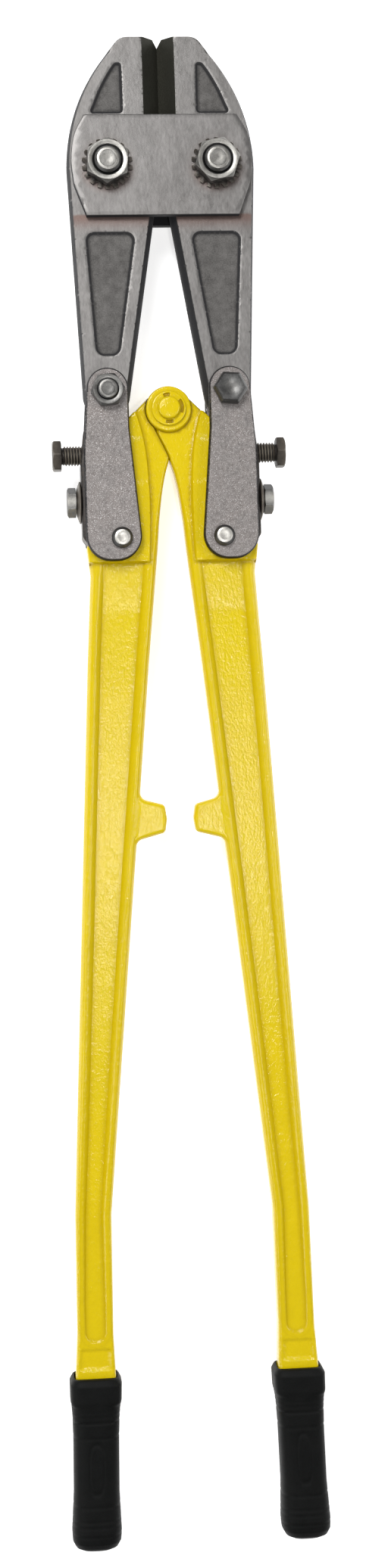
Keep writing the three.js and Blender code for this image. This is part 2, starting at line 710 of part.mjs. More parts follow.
// ---- Rubber grips: a squarish collar, a waisted body and a bulged end, pushed over the tang -----
function makeGrip(side) {
  const middleAt = (drop) => GRIP_MID + (GRIP_LEAN * drop) / GRIP_LENGTH;
  const rows = [
    [GRIP_COLLAR, 0, 0],
    [GRIP_COLLAR, COLLAR_TALL, 0],
    [GRIP_WAIST, COLLAR_TALL + COLLAR_STEP, COLLAR_STEP],
    [GRIP_WAIST, GRIP_LENGTH * 0.66, COLLAR_STEP],
    [GRIP_END, GRIP_LENGTH - BULGE_RISE, 0],
    [GRIP_END - END_TAPER, GRIP_LENGTH, 0],
  ];
  const edge = (way) => rows.map(([half, drop, r]) => (
    [middleAt(drop) + way * half, GRIP_TOP_Y - drop, r]
  ));
  const outline = rounded([...edge(1), ...edge(-1).reverse()]);
  const body = prism(sided(outline, side), -GRIP_THICK / 2, GRIP_THICK / 2, GRIP_ROUND);
  const deep = TANG_THICK / 2 + GAP;
  const pocket = prism(sided(tangOutline(GAP), side), -deep, deep);
  return cut(solidOf(body), pocket);
}

// ---- Assembly -------------------------------------------------------------------------------------
place('front_side_plate', makePlate(PLATE_LOW), GROUND_STEEL);
place('rear_side_plate', makePlate(-PLATE_FACE), GROUND_STEEL);

Object.entries(SIDES).forEach(([name, side]) => {
  const washerTop = PLATE_FACE + GAP + TOOTH_WASHER.thick;
  const bore = MAIN_BOLT.shank + GAP;
  const mainBolt = makeBolt(MAIN_BOLT, PLATE_FACE, washerTop);
  const mainNut = makeNut(MAIN_BOLT, washerTop, bore);
  const lockWasher = makeToothWasher(TOOTH_WASHER, bore, PLATE_FACE + GAP);
  place(`${name}_jaw`, makeJaw(side), GROUND_STEEL);
  place(`${name}_main_bolt`, mainBolt, ZINC_STEEL, side * BOLT_X, BOLT_Y);
  place(`${name}_main_nut`, mainNut, ZINC_STEEL, side * BOLT_X, BOLT_Y);
  place(`${name}_lock_washer`, lockWasher, BLACK_STEEL, side * BOLT_X, BOLT_Y);

  place(`${name}_front_strap`, makeStrap(side, PLATE_LOW), FORGED_STEEL);
  place(`${name}_rear_strap`, makeStrap(side, -STRAP_FACE), FORGED_STEEL);
  const bolt = place(
    `${name}_strap_bolt`,
    makeBolt(STRAP_BOLT, STRAP_FACE, STRAP_FACE),
    ZINC_STEEL,
    side * TAIL_X,
    TAIL_Y,
  );
  const nut = place(
    `${name}_strap_nut`,
    makeNut(STRAP_BOLT, STRAP_FACE, STRAP_BOLT.shank + GAP),
    ZINC_STEEL,
    side * TAIL_X,
    TAIL_Y,
  );
  // The right strap bolt is put in from the front, the left one from the rear.
  if (side > 0) {
    bolt.rotation.y = Math.PI;
    nut.rotation.y = Math.PI;
  }
  place(`${name}_strap_pin`, makeStrapPin(), ZINC_STEEL, side * PIN_X, PIN_Y);
  place(`${name}_adjusting_block`, makeBlock(side), BLACK_STEEL);
  placeAcross(`${name}_adjusting_screw`, makeAdjustingScrew(), BLACK_STEEL, side, ADJUST_Y);
  placeAcross(`${name}_lock_screw`, makeLockScrew(), ZINC_STEEL, side, LOCK_Y);
  placeAcross(`${name}_lock_screw_washer`, makeLockWasher(), BLACK_STEEL, side, LOCK_Y);
  place(`${name}_handle`, makeHandle(side), YELLOW_PAINT);
  place(`${name}_grip`, makeGrip(side), BLACK_RUBBER);
});

place('handle_pivot_pin', makePivotPin(), YELLOW_PAINT);
place('front_pivot_washer', makePivotWasher(SEAT_FACE + GAP), YELLOW_PAINT);
place('rear_pivot_washer', makePivotWasher(-SEAT_FACE - GAP - PIVOT_WASHER_THICK), YELLOW_PAINT);

export default tool;
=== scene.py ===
"""Bolt cutters of the 36 inch size, lying flat and closed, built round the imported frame."""

import bmesh
import bpy
import numpy as np
from mathutils import Matrix, Vector
from mathutils.geometry import delaunay_2d_cdt


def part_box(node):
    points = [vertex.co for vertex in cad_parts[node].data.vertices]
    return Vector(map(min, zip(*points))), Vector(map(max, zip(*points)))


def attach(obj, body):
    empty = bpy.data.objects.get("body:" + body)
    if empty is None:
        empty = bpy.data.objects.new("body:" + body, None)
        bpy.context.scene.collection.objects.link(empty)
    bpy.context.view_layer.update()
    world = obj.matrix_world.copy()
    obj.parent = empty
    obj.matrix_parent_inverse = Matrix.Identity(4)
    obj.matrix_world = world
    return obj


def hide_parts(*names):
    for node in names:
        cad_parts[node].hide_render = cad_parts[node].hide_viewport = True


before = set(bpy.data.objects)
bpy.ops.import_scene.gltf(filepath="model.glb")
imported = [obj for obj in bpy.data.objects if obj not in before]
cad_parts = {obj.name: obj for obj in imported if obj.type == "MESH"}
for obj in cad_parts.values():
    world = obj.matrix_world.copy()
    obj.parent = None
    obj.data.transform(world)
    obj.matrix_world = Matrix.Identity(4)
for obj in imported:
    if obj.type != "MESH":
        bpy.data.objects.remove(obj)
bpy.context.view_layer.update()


# ---- Side plates -------------------------------------------------------------------------------
# Two flat plates of ground steel hold the jaws between them. Their long edges are sheared straight,
# their flanks are bowed, and their lower corners are cut back. Two through bolts carry them.

MM = 0.001
SIDES = {"left": -1, "right": 1}
pin_low, pin_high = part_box("handle_pivot_pin")
PIVOT = (pin_low + pin_high) / 2  # every piece is drawn in millimetres about the handle pivot

BOLT_X, BOLT_Y = 33.0, 146.4
BOLT_HOLE = 8.3
PLATE_TOP, PLATE_BOTTOM = BOLT_Y + 30, BOLT_Y - 30.6
PLATE_LOW, PLATE_FACE = 10.3, 15.3


def arc(x, y, radius, start, end, steps):
    """Points on a circle round (x, y), from one angle to the other, in degrees."""
    angle = np.radians(np.linspace(start, end, steps + 1))
    return np.column_stack([x + radius * np.cos(angle), y + radius * np.sin(angle)])


def ring(x, y, radius, steps=72):
    """A whole circle, without its last point twice."""
    return arc(x, y, radius, 0, 360, steps)[:-1]


def bent(points, steps=12):
    """A smooth line through the points: on each span, the cubic whose slope at a point is half the
    way from the point before it to the point after it."""
    p = np.asarray(points, float)
    slope = np.gradient(p, axis=0)
    t = np.linspace(0, 1, steps, endpoint=False)[:, None, None]
    line = (
        (2 * t**3 - 3 * t**2 + 1) * p[:-1]
        + (t**3 - 2 * t**2 + t) * slope[:-1]
        + (3 * t**2 - 2 * t**3) * p[1:]
        + (t**3 - t**2) * slope[1:]
    )
    return np.vstack([line.swapaxes(0, 1).reshape(-1, 2), p[-1]])


def rounded(corners, steps=8):
    """A closed outline whose corners (x, y, radius) become arcs that touch both their edges."""
    corners = [(*c, 0.0)[:3] for c in corners]
    points = []
    for (bx, by, _), (x, y, radius), (ax, ay, _) in zip(
        corners[-1:] + corners[:-1], corners, corners[1:] + corners[:1]
    ):
        corner, back, ahead = np.array([x, y]), np.array([bx - x, by - y]), np.array([ax - x, ay - y])
        if radius == 0:
            points.append(corner[None])
            continue
        room = 0.49 * min(np.hypot(*back), np.hypot(*ahead))
        back, ahead = back / np.hypot(*back), ahead / np.hypot(*ahead)
        half = np.arccos(np.clip(back @ ahead, -1, 1)) / 2
        reach = min(radius / np.tan(half), room)
        middle = (back + ahead) / np.hypot(*(back + ahead))
        centre = corner + middle * reach / np.cos(half)
        share = np.linspace(-1, 1, steps + 1)[:, None] * (np.pi / 2 - half)
        across = (ahead - back) / np.hypot(*(ahead - back))
        radius = reach * np.tan(half)
        points.append(centre + radius * (np.sin(share) * across - np.cos(share) * middle))
    return np.vstack(points)


def spaced(loop, step):
    """The same closed line, with no two points further apart than step."""
    ahead = np.roll(loop, -1, axis=0)
    count = np.maximum(1, np.ceil(np.hypot(*(ahead - loop).T) / step)).astype(int)
    first = np.repeat(np.cumsum(count) - count, count)
    share = ((np.arange(count.sum()) - first) / np.repeat(count, count))[:, None]
    return np.repeat(loop, count, axis=0) * (1 - share) + np.repeat(ahead, count, axis=0) * share


def gap(x, y, loop):
    """Distance from each point to a closed line, taken as negative inside it."""
    ahead = np.roll(loop, -1, axis=0)
    run = ahead - loop
    length = np.maximum((run**2).sum(1), 1e-12)
    found = []
    for px, py in zip(*(np.array_split(v, 1 + len(x) * len(loop) // 2000000) for v in (x, y))):
        dx, dy = px[:, None] - loop[:, 0], py[:, None] - loop[:, 1]
        along = np.clip((dx * run[:, 0] + dy * run[:, 1]) / length, 0, 1)
        near = np.hypot(dx - along * run[:, 0], dy - along * run[:, 1]).min(1)
        spans = (dy < 0) != (py[:, None] < ahead[:, 1])
        lean = np.where(run[:, 1] == 0, 1, run[:, 1])
        odd = (spans & (dx < dy * run[:, 0] / lean)).sum(1) % 2
        found.append(np.where(odd == 1, -near, near))
    return np.concatenate(found)


def inset(loop, distance):
    """Each point of a counter-clockwise line moved square to it, towards its inside."""
    run = np.roll(loop, -1, axis=0) - np.roll(loop, 1, axis=0)
    return loop + distance * np.column_stack([-run[:, 1], run[:, 0]]) / np.hypot(*run.T)[:, None]


def soft_step(share):
    """From 0 to 1 with level ends: three times the share squared, less twice its cube."""
    share = np.clip(share, 0, 1)
    return share * share * (3 - 2 * share)


def made(name, points, faces, marks=None, angle=32):
    """A mesh object from points in millimetres about the handle pivot, with its numbered marks."""
    mesh = bpy.data.meshes.new(name)
    mesh.from_pydata(points * MM + np.array(PIVOT), [], faces)
    for key, values in (marks or {}).items():
        mesh.attributes.new(key, "FLOAT", "POINT").data.foreach_set("value", values.astype(np.float32))
    mesh.shade_smooth()
    mesh.set_sharp_from_angle(angle=np.radians(angle))
    piece = bpy.data.objects.new(name, mesh)
    bpy.context.scene.collection.objects.link(piece)
    return piece


def sheet(loop, holes, step, rings):
    """Triangles that fill an outline round its holes: the lines' own points, and between them a grid
    whose rows are shifted by half a step in turn, which keeps off the rings wherever they run."""
    loop = spaced(loop, step)
    lines = [loop, *(spaced(h, step) for h in holes)]
    walls = len(lines)
    lines += list(rings)
    xy = np.vstack(lines)
    count = np.array([len(line) for line in lines])
    first = np.cumsum(count) - count
    start = np.arange(first[walls]) if walls < len(lines) else np.arange(len(xy))
    owner = np.repeat(np.arange(walls), count[:walls])
    after = first[owner] + (start - first[owner] + 1) % count[owner]
    low, high = loop.min(0), loop.max(0)
    gx, gy = np.meshgrid(np.arange(low[0], high[0], step), np.arange(low[1], high[1], step * 0.87))
    gx = gx + step / 2 * (np.arange(len(gx))[:, None] % 2)
    gx, gy = gx.ravel(), gy.ravel()
    keep = gap(gx, gy, loop) < -step * 0.5
    for line in lines[1:walls]:
        keep &= gap(gx, gy, line) > step * 0.5
    gx, gy = gx[keep], gy[keep]
    if rings:
        ringed, gridded = np.vstack(rings), np.column_stack([gx, gy])
        cells = [np.round(v / (step * 0.7)).astype(int) for v in (ringed, gridded)]
        taken, wanted = (v[:, 0] * 100000 + v[:, 1] for v in cells)
        free = ~np.isin(wanted, taken)
        gx, gy = gx[free], gy[free]
    xy = np.vstack([xy, np.column_stack([gx, gy])])
    edges = np.column_stack([start, after]).tolist()
    flat, _, tris, *_ = delaunay_2d_cdt(xy.tolist(), edges, [], 0, 1e-5)
    flat, tris = np.array(flat), np.array([t for t in tris if len(t) == 3])
    a, b, c = flat[tris[:, 0]], flat[tris[:, 1]], flat[tris[:, 2]]
    middle = (a + b + c) / 3
    ab, ac = b - a, c - a
    area = ab[:, 0] * ac[:, 1] - ab[:, 1] * ac[:, 0]
    keep = (gap(*middle.T, loop) < 0) & (np.abs(area) > 1e-7)
    for line in lines[1:walls]:
        keep &= gap(*middle.T, line) > 0
    tris, area = tris[keep], area[keep]
    tris[area < 0] = tris[area < 0][:, ::-1]
    used, tris = np.unique(tris, return_inverse=True)
    return *flat[used].T, tris.reshape(-1, 3)


def relief(name, loop, holes, faces, step, rings=(), angle=32, turn=1, mirror=1):
    """A piece with a worked face on each side: two heights over x and y, front and back, on one sheet
    of triangles that fills the outline, with straight walls between them along its edges. It can be
    turned over about Y, or mirrored left to right."""
    x, y, tris = sheet(loop, holes, step, rings)
    front, back, marks = faces(x, y)
    total = len(x)
    pairs = np.vstack([tris[:, [0, 1]], tris[:, [1, 2]], tris[:, [2, 0]]])
    key = pairs[:, 0] * total + pairs[:, 1]
    rim = pairs[~np.isin(key, pairs[:, 1] * total + pairs[:, 0])]
    wall = np.vstack([
        np.column_stack([rim[:, 0], rim[:, 0] + total, rim[:, 1] + total]),
        np.column_stack([rim[:, 0], rim[:, 1] + total, rim[:, 1]]),
    ])
    every = np.vstack([tris, tris[:, ::-1] + total, wall])
    if mirror < 0:
        every = every[:, ::-1]
    points = np.column_stack([
        np.tile(x, 2) * turn * mirror, np.tile(y, 2), np.concatenate([front, back]) * turn
    ])
    marks = {key: np.tile(v, 2) if len(v) == total else v for key, v in marks.items()}
    return made(name, points, every, marks, angle)


def node(tree, kind, sockets=None, **settings):
    """One shader node. Each socket gets a plain value, or a link when it is given an output."""
    new = tree.nodes.new(kind)
    for key, value in settings.items():
        setattr(new, key, value)
    for key, value in (sockets or {}).items():
        if isinstance(value, bpy.types.NodeSocket):
            tree.links.new(value, new.inputs[key])
        else:
            new.inputs[key].default_value = value
    return new


def effect(name, inputs):
    """An empty node group with a Vector input, the named number inputs, and one number put out."""
    group = bpy.data.node_groups.new(name, "ShaderNodeTree")
    group.interface.new_socket("Vector", in_out="INPUT", socket_type="NodeSocketVector")
    for key, value in inputs.items():
        socket = group.interface.new_socket(key, in_out="INPUT", socket_type="NodeSocketFloat")
        socket.default_value = value
    group.interface.new_socket("Value", in_out="OUTPUT", socket_type="NodeSocketFloat")
    given, result = group.nodes.new("NodeGroupInput"), group.nodes.new("NodeGroupOutput")
    return group, given.outputs, result.inputs[0]


def maths(tree, operation, *values, clamp=False):
    """The result of a Math node."""
    sockets = dict(enumerate(values))
    return node(tree, "ShaderNodeMath", sockets, operation=operation, use_clamp=clamp).outputs[0]


def raised(tree, share, by, base, clamp=False):
    """A base value, raised by a share of another."""
    return maths(tree, "ADD", maths(tree, "MULTIPLY", share, by), base, clamp=clamp)


def lowered(tree, share, by, base):
    """A base value, lowered by a share of another."""
    return maths(tree, "SUBTRACT", base, maths(tree, "MULTIPLY", share, by))


def blend(tree, share, low, high):
    """The colour that a Mix node makes of two: its share is socket 0, its colours are 6 and 7."""
    return node(tree, "ShaderNodeMix", {0: share, 6: low, 7: high}, data_type="RGBA").outputs[2]


def shade(value, green=None, blue=None):
    """A colour, from one grey level or from three levels."""
    return (value, value if green is None else green, value if blue is None else blue, 1)


# Cloudy unevenness: a coarse noise and a fine noise in equal parts, spread to the full range.
clouds, given, result = effect("clouds", {"Coarse": 60, "Fine": 400, "Contrast": 1.6})
sockets = {"Vector": given["Vector"], "Scale": given["Coarse"], "Detail": 3}
coarse = node(clouds, "ShaderNodeTexNoise", sockets).outputs[0]
sockets = {"Vector": given["Vector"], "Scale": given["Fine"], "Detail": 2}
fine = node(clouds, "ShaderNodeTexNoise", sockets).outputs[0]
both = raised(clouds, coarse, 0.5, maths(clouds, "MULTIPLY", fine, 0.5))
spread = maths(clouds, "MULTIPLY", maths(clouds, "SUBTRACT", both, 0.5), given["Contrast"])
clouds.links.new(maths(clouds, "ADD", spread, 0.5, clamp=True), result)

# Specks: noise so fine that only its highest peaks are left, as the glints of a blasted surface.
specks, given, result = effect("specks", {"Scale": 900, "Level": 0.6, "Sharpness": 9})
sockets = {"Vector": given["Vector"], "Scale": given["Scale"], "Detail": 1}
dots = node(specks, "ShaderNodeTexNoise", sockets).outputs[0]
peaks = maths(specks, "SUBTRACT", dots, given["Level"])
specks.links.new(maths(specks, "MULTIPLY", peaks, given["Sharpness"], clamp=True), result)


def placed(tree, group, vector, **values):
    """A node group in a material, with its own values."""
    return node(tree, "ShaderNodeGroup", {"Vector": vector, **values}, node_tree=group).outputs[0]


def finish(name, **constants):
    """A new material: its node tree, its shader, and its object coordinates."""
    material = bpy.data.materials.new(name)
    material.use_nodes = True
    tree = material.node_tree
    shader = tree.nodes["Principled BSDF"]
    for key, value in constants.items():
        shader.inputs[key.replace("_", " ")].default_value = value
    return material, tree, shader, tree.nodes.new("ShaderNodeTexCoord").outputs["Object"]


def mark(tree, name):
    """A number that the mesh carries at its points."""
    return node(tree, "ShaderNodeAttribute", attribute_name=name).outputs["Fac"]


def surfaced(tree, shader, colour, dull):
    """The shader takes its colour and its roughness from these."""
    tree.links.new(colour, shader.inputs["Base Color"])
    tree.links.new(dull, shader.inputs["Roughness"])


def bumped(tree, shader, height, distance, strength):
    """The shader's normal, tilted by a height in metres."""
    bump = node(tree, "ShaderNodeBump", {"Height": height, "Distance": distance, "Strength": strength})
    tree.links.new(bump.outputs[0], shader.inputs["Normal"])


# Ground steel: a satin grey, clouded across the grind, with forged black edges, darker sunk floors,
# and blades that are blackened by their hardening. A brown painted shadow lies below the plates and
# round the nuts, and the plates' edges and inner faces are painted black as shade.
ground_steel, tree, shader, spot = finish("ground_steel")
grind = {"Vector": spot, "Rotation": (0, 0, 0.9), "Scale": (1, 0.35, 1)}
slanted = node(tree, "ShaderNodeMapping", grind).outputs[0]
cloudy = placed(tree, clouds, slanted, Coarse=120.0, Fine=700.0, Contrast=1.9)
glints = placed(tree, specks, spot, Scale=1500.0, Level=0.62)
colour = blend(tree, cloudy, shade(0.135, 0.129, 0.124), shade(0.282, 0.272, 0.264))
# Painted shadow: a brown tint below the plates' lower edge and round each nut.
colour = blend(tree, mark(tree, "painted_shadow"), colour, shade(0.15, 0.095, 0.08))
mottle = placed(tree, clouds, spot, Coarse=220.0, Fine=1300.0, Contrast=2.0)
floor_tone = blend(tree, mottle, shade(0.066, 0.063, 0.06), shade(0.178, 0.171, 0.165))
colour = blend(tree, mark(tree, "sunk"), colour, floor_tone)
# This black is the jaws' real forged draft and panel walls, and on the plates it is painted shade.
colour = blend(tree, mark(tree, "forged"), colour, shade(0.018, 0.018, 0.02))
colour = blend(tree, mark(tree, "blade"), colour, shade(0.055, 0.054, 0.044))
dull = raised(tree, cloudy, 0.14, 0.36)
dull = raised(tree, mark(tree, "sunk"), 0.2, dull, clamp=True)
dull = raised(tree, mark(tree, "forged"), 0.3, dull, clamp=True)
surfaced(tree, shader, colour, dull)
tree.links.new(lowered(tree, mark(tree, "forged"), 0.7, 0.9), shader.inputs["Metallic"])
rough = raised(tree, glints, 0.3, placed(tree, clouds, spot, Coarse=700.0, Fine=2400.0))
bumped(tree, shader, rough, 0.00012, 0.5)

bow = bent([(46.1, PLATE_TOP), (52.4, PLATE_TOP - 12), (54.6, PLATE_TOP - 27), (53.4, PLATE_TOP - 41)])
half_plate = np.vstack([bow, (46.1, PLATE_BOTTOM)])
plate_loop = np.vstack([half_plate * (-1, 1), half_plate[::-1]])
PLATE_BEVEL, BEVEL_WIDE = 0.4, 0.5


def plate_faces(x, y):
    """Flat on both sides, with a thin bevel: the height falls with the square of the way left to the
    edge. A brown painted shadow rings each nut, deepest below it, and the edge walls and the inner
    face, toward the jaws, are painted black as shade."""
    edge = -gap(x, y, plate_loop)
    bevel = PLATE_BEVEL * (1 - np.clip(edge / BEVEL_WIDE, 0, 1)) ** 2
    # Painted shadow round each nut, deepest on its lower side, away from the light above.
    painted_shadow = np.zeros_like(x)
    for side in SIDES.values():
        dx, dy = x - side * BOLT_X, y - BOLT_Y
        from_bolt = np.hypot(dx, dy)
        below = 0.25 + 0.75 * soft_step((2 - dy) / 12)
        spread = np.exp(-(np.clip(from_bolt - 13.5, 0, None) / 3.2) ** 2)
        painted_shadow = np.maximum(painted_shadow, 0.62 * below * spread)
    nothing = np.zeros_like(x)
    # Painted shade: the edge walls and the whole inner face are made black.
    black = np.concatenate([np.clip(1 - np.clip(edge, 0, 9) / 0.2, 0, 1), nothing + 1])
    marks = {"painted_shadow": painted_shadow, "sunk": nothing, "forged": black, "blade": nothing}
    return PLATE_FACE - bevel, PLATE_LOW + nothing, marks


plate_rings = [inset(spaced(plate_loop, 3), d) for d in (0.2, BEVEL_WIDE)]
for where, turn in (("front", 1), ("rear", -1)):
    plate = relief(
        f"{where}_plate",
        plate_loop,
        [ring(s * BOLT_X, BOLT_Y, BOLT_HOLE) for s in SIDES.values()],
        plate_faces,
        3,
        plate_rings,
        turn=turn,
    )
    plate.data.materials.append(ground_steel)
    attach(plate, "head")
    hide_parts(f"{where}_side_plate")


# ---- Main bolts, nuts and tooth washers --------------------------------------------------------
# Each jaw turns on an M16 through bolt of plated steel: a hexagon head at the rear, and in front a
# black toothed washer, whose twisted teeth bite both faces, under a nut that leaves the end proud.

BOLT_SHANK, MAIN_FLATS = 8.0, 24.0
BOLT_SEAT, HEAD_HIGH, BOLT_END = 15.6, 10.0, 28.2
NUT_LOW, NUT_HIGH = 17.7, 8.0
MAIN_NUT_TURN = {"left": 27.0, "right": 12.0}  # how the nuts happened to stop, in degrees
WASHER_LOW, WASHER_TOP = 15.6, 17.4
TOOTH_ROOT, TOOTH_TIP, TEETH = 13.0, 15.3, 18
ROUND = np.radians(np.arange(0, 360, 2.0))


def six_sided(flats, turn=0.0):
    """Reach of a hexagon with slightly softened corners, at each angle: half the width across its
    flats, over the largest of the six cosines taken as a high power mean."""
    faces = np.radians(turn + 30 + 60 * np.arange(3))[:, None]
    return flats / 2 / (np.abs(np.cos(ROUND - faces)) ** 70).sum(0) ** (1 / 70)


def nut_slope(reach, start, top, way=-1):
    """Height of a nut's turned corners: it falls at 30 degrees from the circle where they start."""
    return top + way * np.tan(np.radians(30)) * (reach - start)


def skin(name, points, marks=None, angle=32, closed=False):
    """A closed skin over rows of points, each row a whole turn: every point is joined to the next in
    its row and to the same one in the next row, and the poles are merged into single points."""
    high, wide = points.shape[:2]
    rows, columns = np.arange(high if closed else high - 1)[:, None], np.arange(wide)
    index = [
        (rows + dr) % high * wide + (columns + dc) % wide for dr, dc in ((0, 0), (0, 1), (1, 1), (1, 0))
    ]
    piece = made(name, points.reshape(-1, 3), np.stack(index, -1).reshape(-1, 4), marks, angle)
    shell = bmesh.new()
    shell.from_mesh(piece.data)
    bmesh.ops.remove_doubles(shell, verts=shell.verts, dist=1e-7)
    bmesh.ops.recalc_face_normals(shell, faces=shell.faces)
    shell.to_mesh(piece.data)
    shell.free()
    piece.data.shade_smooth()
    piece.data.set_sharp_from_angle(angle=np.radians(angle))
    return piece


def revolved(name, radii, heights, at, mark_rows=None, to_side=0, turn=1, angle=32, closed=False):
    """A round or six-sided piece: each row is a radius and a height at every angle, and the rows are
    joined in order. It lies along Z, or along X out to one side. Row marks become point marks."""
    def whole(rows):
        return np.vstack([np.broadcast_to(row, len(ROUND)) for row in rows])

    r, z = whole(radii), whole(heights)
    along, up = r * np.cos(ROUND), r * np.sin(ROUND)
    if to_side:
        points = np.stack([to_side * z, up, -to_side * along], -1)
    else:
        points = np.stack([along * turn, up, z * turn], -1)
    marks = {key: whole(rows).ravel() for key, rows in (mark_rows or {}).items()}
    return skin(name, points + np.array(at, float), marks, angle, closed)


def fitted(piece, body, replaced, material):
    """The piece gets its material, rides on its body, and stands for its CAD node."""
    piece.data.materials.append(material)
    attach(piece, body)
    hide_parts(replaced)
    return piece


# Plated steel: dark grey, faintly pitted, with painted sheen, a light warm grey, on the top faces,
# chamfers and ends.
plated_steel, tree, shader, spot = finish("plated_steel", Metallic=0.92)
cloudy = placed(tree, clouds, spot, Coarse=260.0, Fine=1500.0, Contrast=2.0)
colour = blend(tree, cloudy, shade(0.055, 0.055, 0.055), shade(0.125, 0.124, 0.122))
sheen = blend(tree, cloudy, shade(0.40, 0.385, 0.355), shade(0.70, 0.68, 0.63))
colour = blend(tree, mark(tree, "painted_sheen"), colour, sheen)
surfaced(tree, shader, colour, raised(tree, cloudy, 0.2, 0.26))
bumped(tree, shader, placed(tree, clouds, spot, Coarse=500.0, Fine=1800.0), 0.0001, 0.5)

# Black steel: oiled black oxide, with painted sheen in a light brown on crests, tips, rims and
# chamfers.
black_steel, tree, shader, spot = finish("black_steel", Metallic=0.5)
cloudy = placed(tree, clouds, spot, Coarse=300.0, Fine=1400.0, Contrast=2.4)
colour = blend(tree, cloudy, shade(0.012, 0.012, 0.013), shade(0.06, 0.05, 0.042))
colour = blend(tree, mark(tree, "painted_sheen"), colour, shade(0.22, 0.19, 0.15))
surfaced(tree, shader, colour, raised(tree, cloudy, 0.25, 0.3))
bumped(tree, shader, cloudy, 0.00015, 0.5)


def through_bolt(name, at, shank, flats, seat, head, end, head_turn=0.0, turn=1, sheen=1.0, cut=1.6):
    """A forged hexagon head, bevelled along its six sides round a shallow dish, a shank, and an end
    chamfered by the cut, with a shallow centre. A factor scales the painted sheen on its dish and end."""
    reach = six_sided(flats, head_turn)
    top = -seat - head
    radii = [
        0, flats * 0.17, flats * 0.25, reach * 0.84, reach * 0.97, reach, reach, shank, shank,
        shank - 0.3 * cut, shank - 0.8 * cut, shank - cut, shank - cut - 1.3, shank - cut - 1.6, 2.0, 0,
    ]
    heights = [
        top + 0.6, top + 0.6, top, top, top + 1.3, top + 1.9, -seat, -seat, end - 1.2 * cut,
        end - 0.8 * cut, end - 0.1 * cut, end, end, end - 0.2, end - 0.2, end - 0.5,
    ]
    painted_sheen = [0.28, 0.28, 0.1, 0.02, 0.12, 0, 0.05, 0, 0, 0.0, 0.2, 0.62, 0.6, 0.25, 0.5, 0.3]
    return revolved(name, radii, heights, at, {"painted_sheen": sheen * np.array(painted_sheen)}, turn=turn)


def hexagon_nut(name, at, flats, bore, low, high, turn_of_flats, turn=1, sheen=1.0, sunk=1.2):
    """A nut: its corners turned off above and below at 30 degrees, and a turned ring round its bore,
    which is sunk at the mouth. A factor scales the painted sheen on its top and upper chamfer."""
    reach = six_sided(flats, turn_of_flats)
    start, top = flats / 2 * 0.985, low + high
    sink = bore + sunk
    corner = nut_slope(reach, start, top, -1.7)
    radii = [bore, start, reach, reach, reach, start + 0.12, start, sink + 0.2, sink, bore, bore - 0.15]
    heights = [
        low, low, nut_slope(reach, start, low, 0.6), corner - 0.5, corner, top - 0.1, top, top,
        top - 0.1, top - sunk, top - sunk - 1.3,
    ]
    painted_sheen = sheen * np.array([0, 0.0, 0.0, 0.0, 0.5, 0.22, 0.6, 0.55, 0.05, 0, 0])
    return revolved(name, radii, heights, at, {"painted_sheen": painted_sheen}, turn=turn, closed=True)


def tooth_washer(name, at, low, top, bore, root, tip, teeth):
    """A thin ring whose edge runs out into teeth, each twisted so that one flank stands above the
    ring and the other below it: the height follows the way across the tooth, times the reach."""
    phase = (ROUND * teeth / (2 * np.pi)) % 1
    tooth = soft_step((phase - 0.16) / 0.1) * soft_step((0.84 - phase) / 0.1)
    reach = root + (tip - root) * tooth
    twist = (phase - 0.5) * tooth * (top - low) * 1.1
    middle, half = (low + top) / 2, (top - low) * 0.22
    radii = [bore, root - 0.6, root, reach, reach, root, root - 0.6, bore]
    heights = [
        middle - half, middle - half, middle - half + 0.4 * twist, middle - half + twist,
        middle + half + twist, middle + half + 0.4 * twist, middle + half, middle + half,
    ]
    # The tooth tips carry a little painted sheen.
    return revolved(name, radii, heights, at, {"painted_sheen": [0, 0, 0, 0.1, 0.25, 0, 0, 0]}, closed=True)


for name, side in SIDES.items():
    centre = (side * BOLT_X, BOLT_Y, 0)
    bolt = through_bolt(
        f"{name}_main_through_bolt", centre, BOLT_SHANK, MAIN_FLATS, BOLT_SEAT, HEAD_HIGH, BOLT_END
    )
    fitted(bolt, "head", f"{name}_main_bolt", plated_steel)
    nut = hexagon_nut(
        f"{name}_main_hex_nut", centre, MAIN_FLATS, BOLT_SHANK + 0.1, NUT_LOW, NUT_HIGH,
        turn_of_flats=MAIN_NUT_TURN[name],
    )
    fitted(nut, "head", f"{name}_main_nut", plated_steel)
    washer = tooth_washer(
        f"{name}_tooth_washer", centre, WASHER_LOW, WASHER_TOP, BOLT_HOLE, TOOTH_ROOT, TOOTH_TIP, TEETH
    )
    fitted(washer, "head", f"{name}_lock_washer", black_steel)


# ---- Jaws --------------------------------------------------------------------------------------
# Two drop forgings of chrome vanadium steel, ground flat on both faces. The sides keep their black
# draft, the faces have sunk panels, and the inner edges are ground back to the two blades.

SEAM = 0.03  # half the gap between the closed blades
JAW_FACE = 10.0
TIP_Y = BOLT_Y + 78.6
DOME_X, DOME_R = -50.0, 107.0
TAIL_X, TAIL_Y, TAIL_R = 36.9, 10.0, 14.3
TAIL_HOLE = 6.3
BLADE_WIDE, BLADE_LOW, BLADE_EDGE = 9.8, BOLT_Y + 24, 1.2
OUTER_DRAFT, INNER_DRAFT = 1.7, 3.1
SUNK, WALL_WIDE = 1.8, 2.0

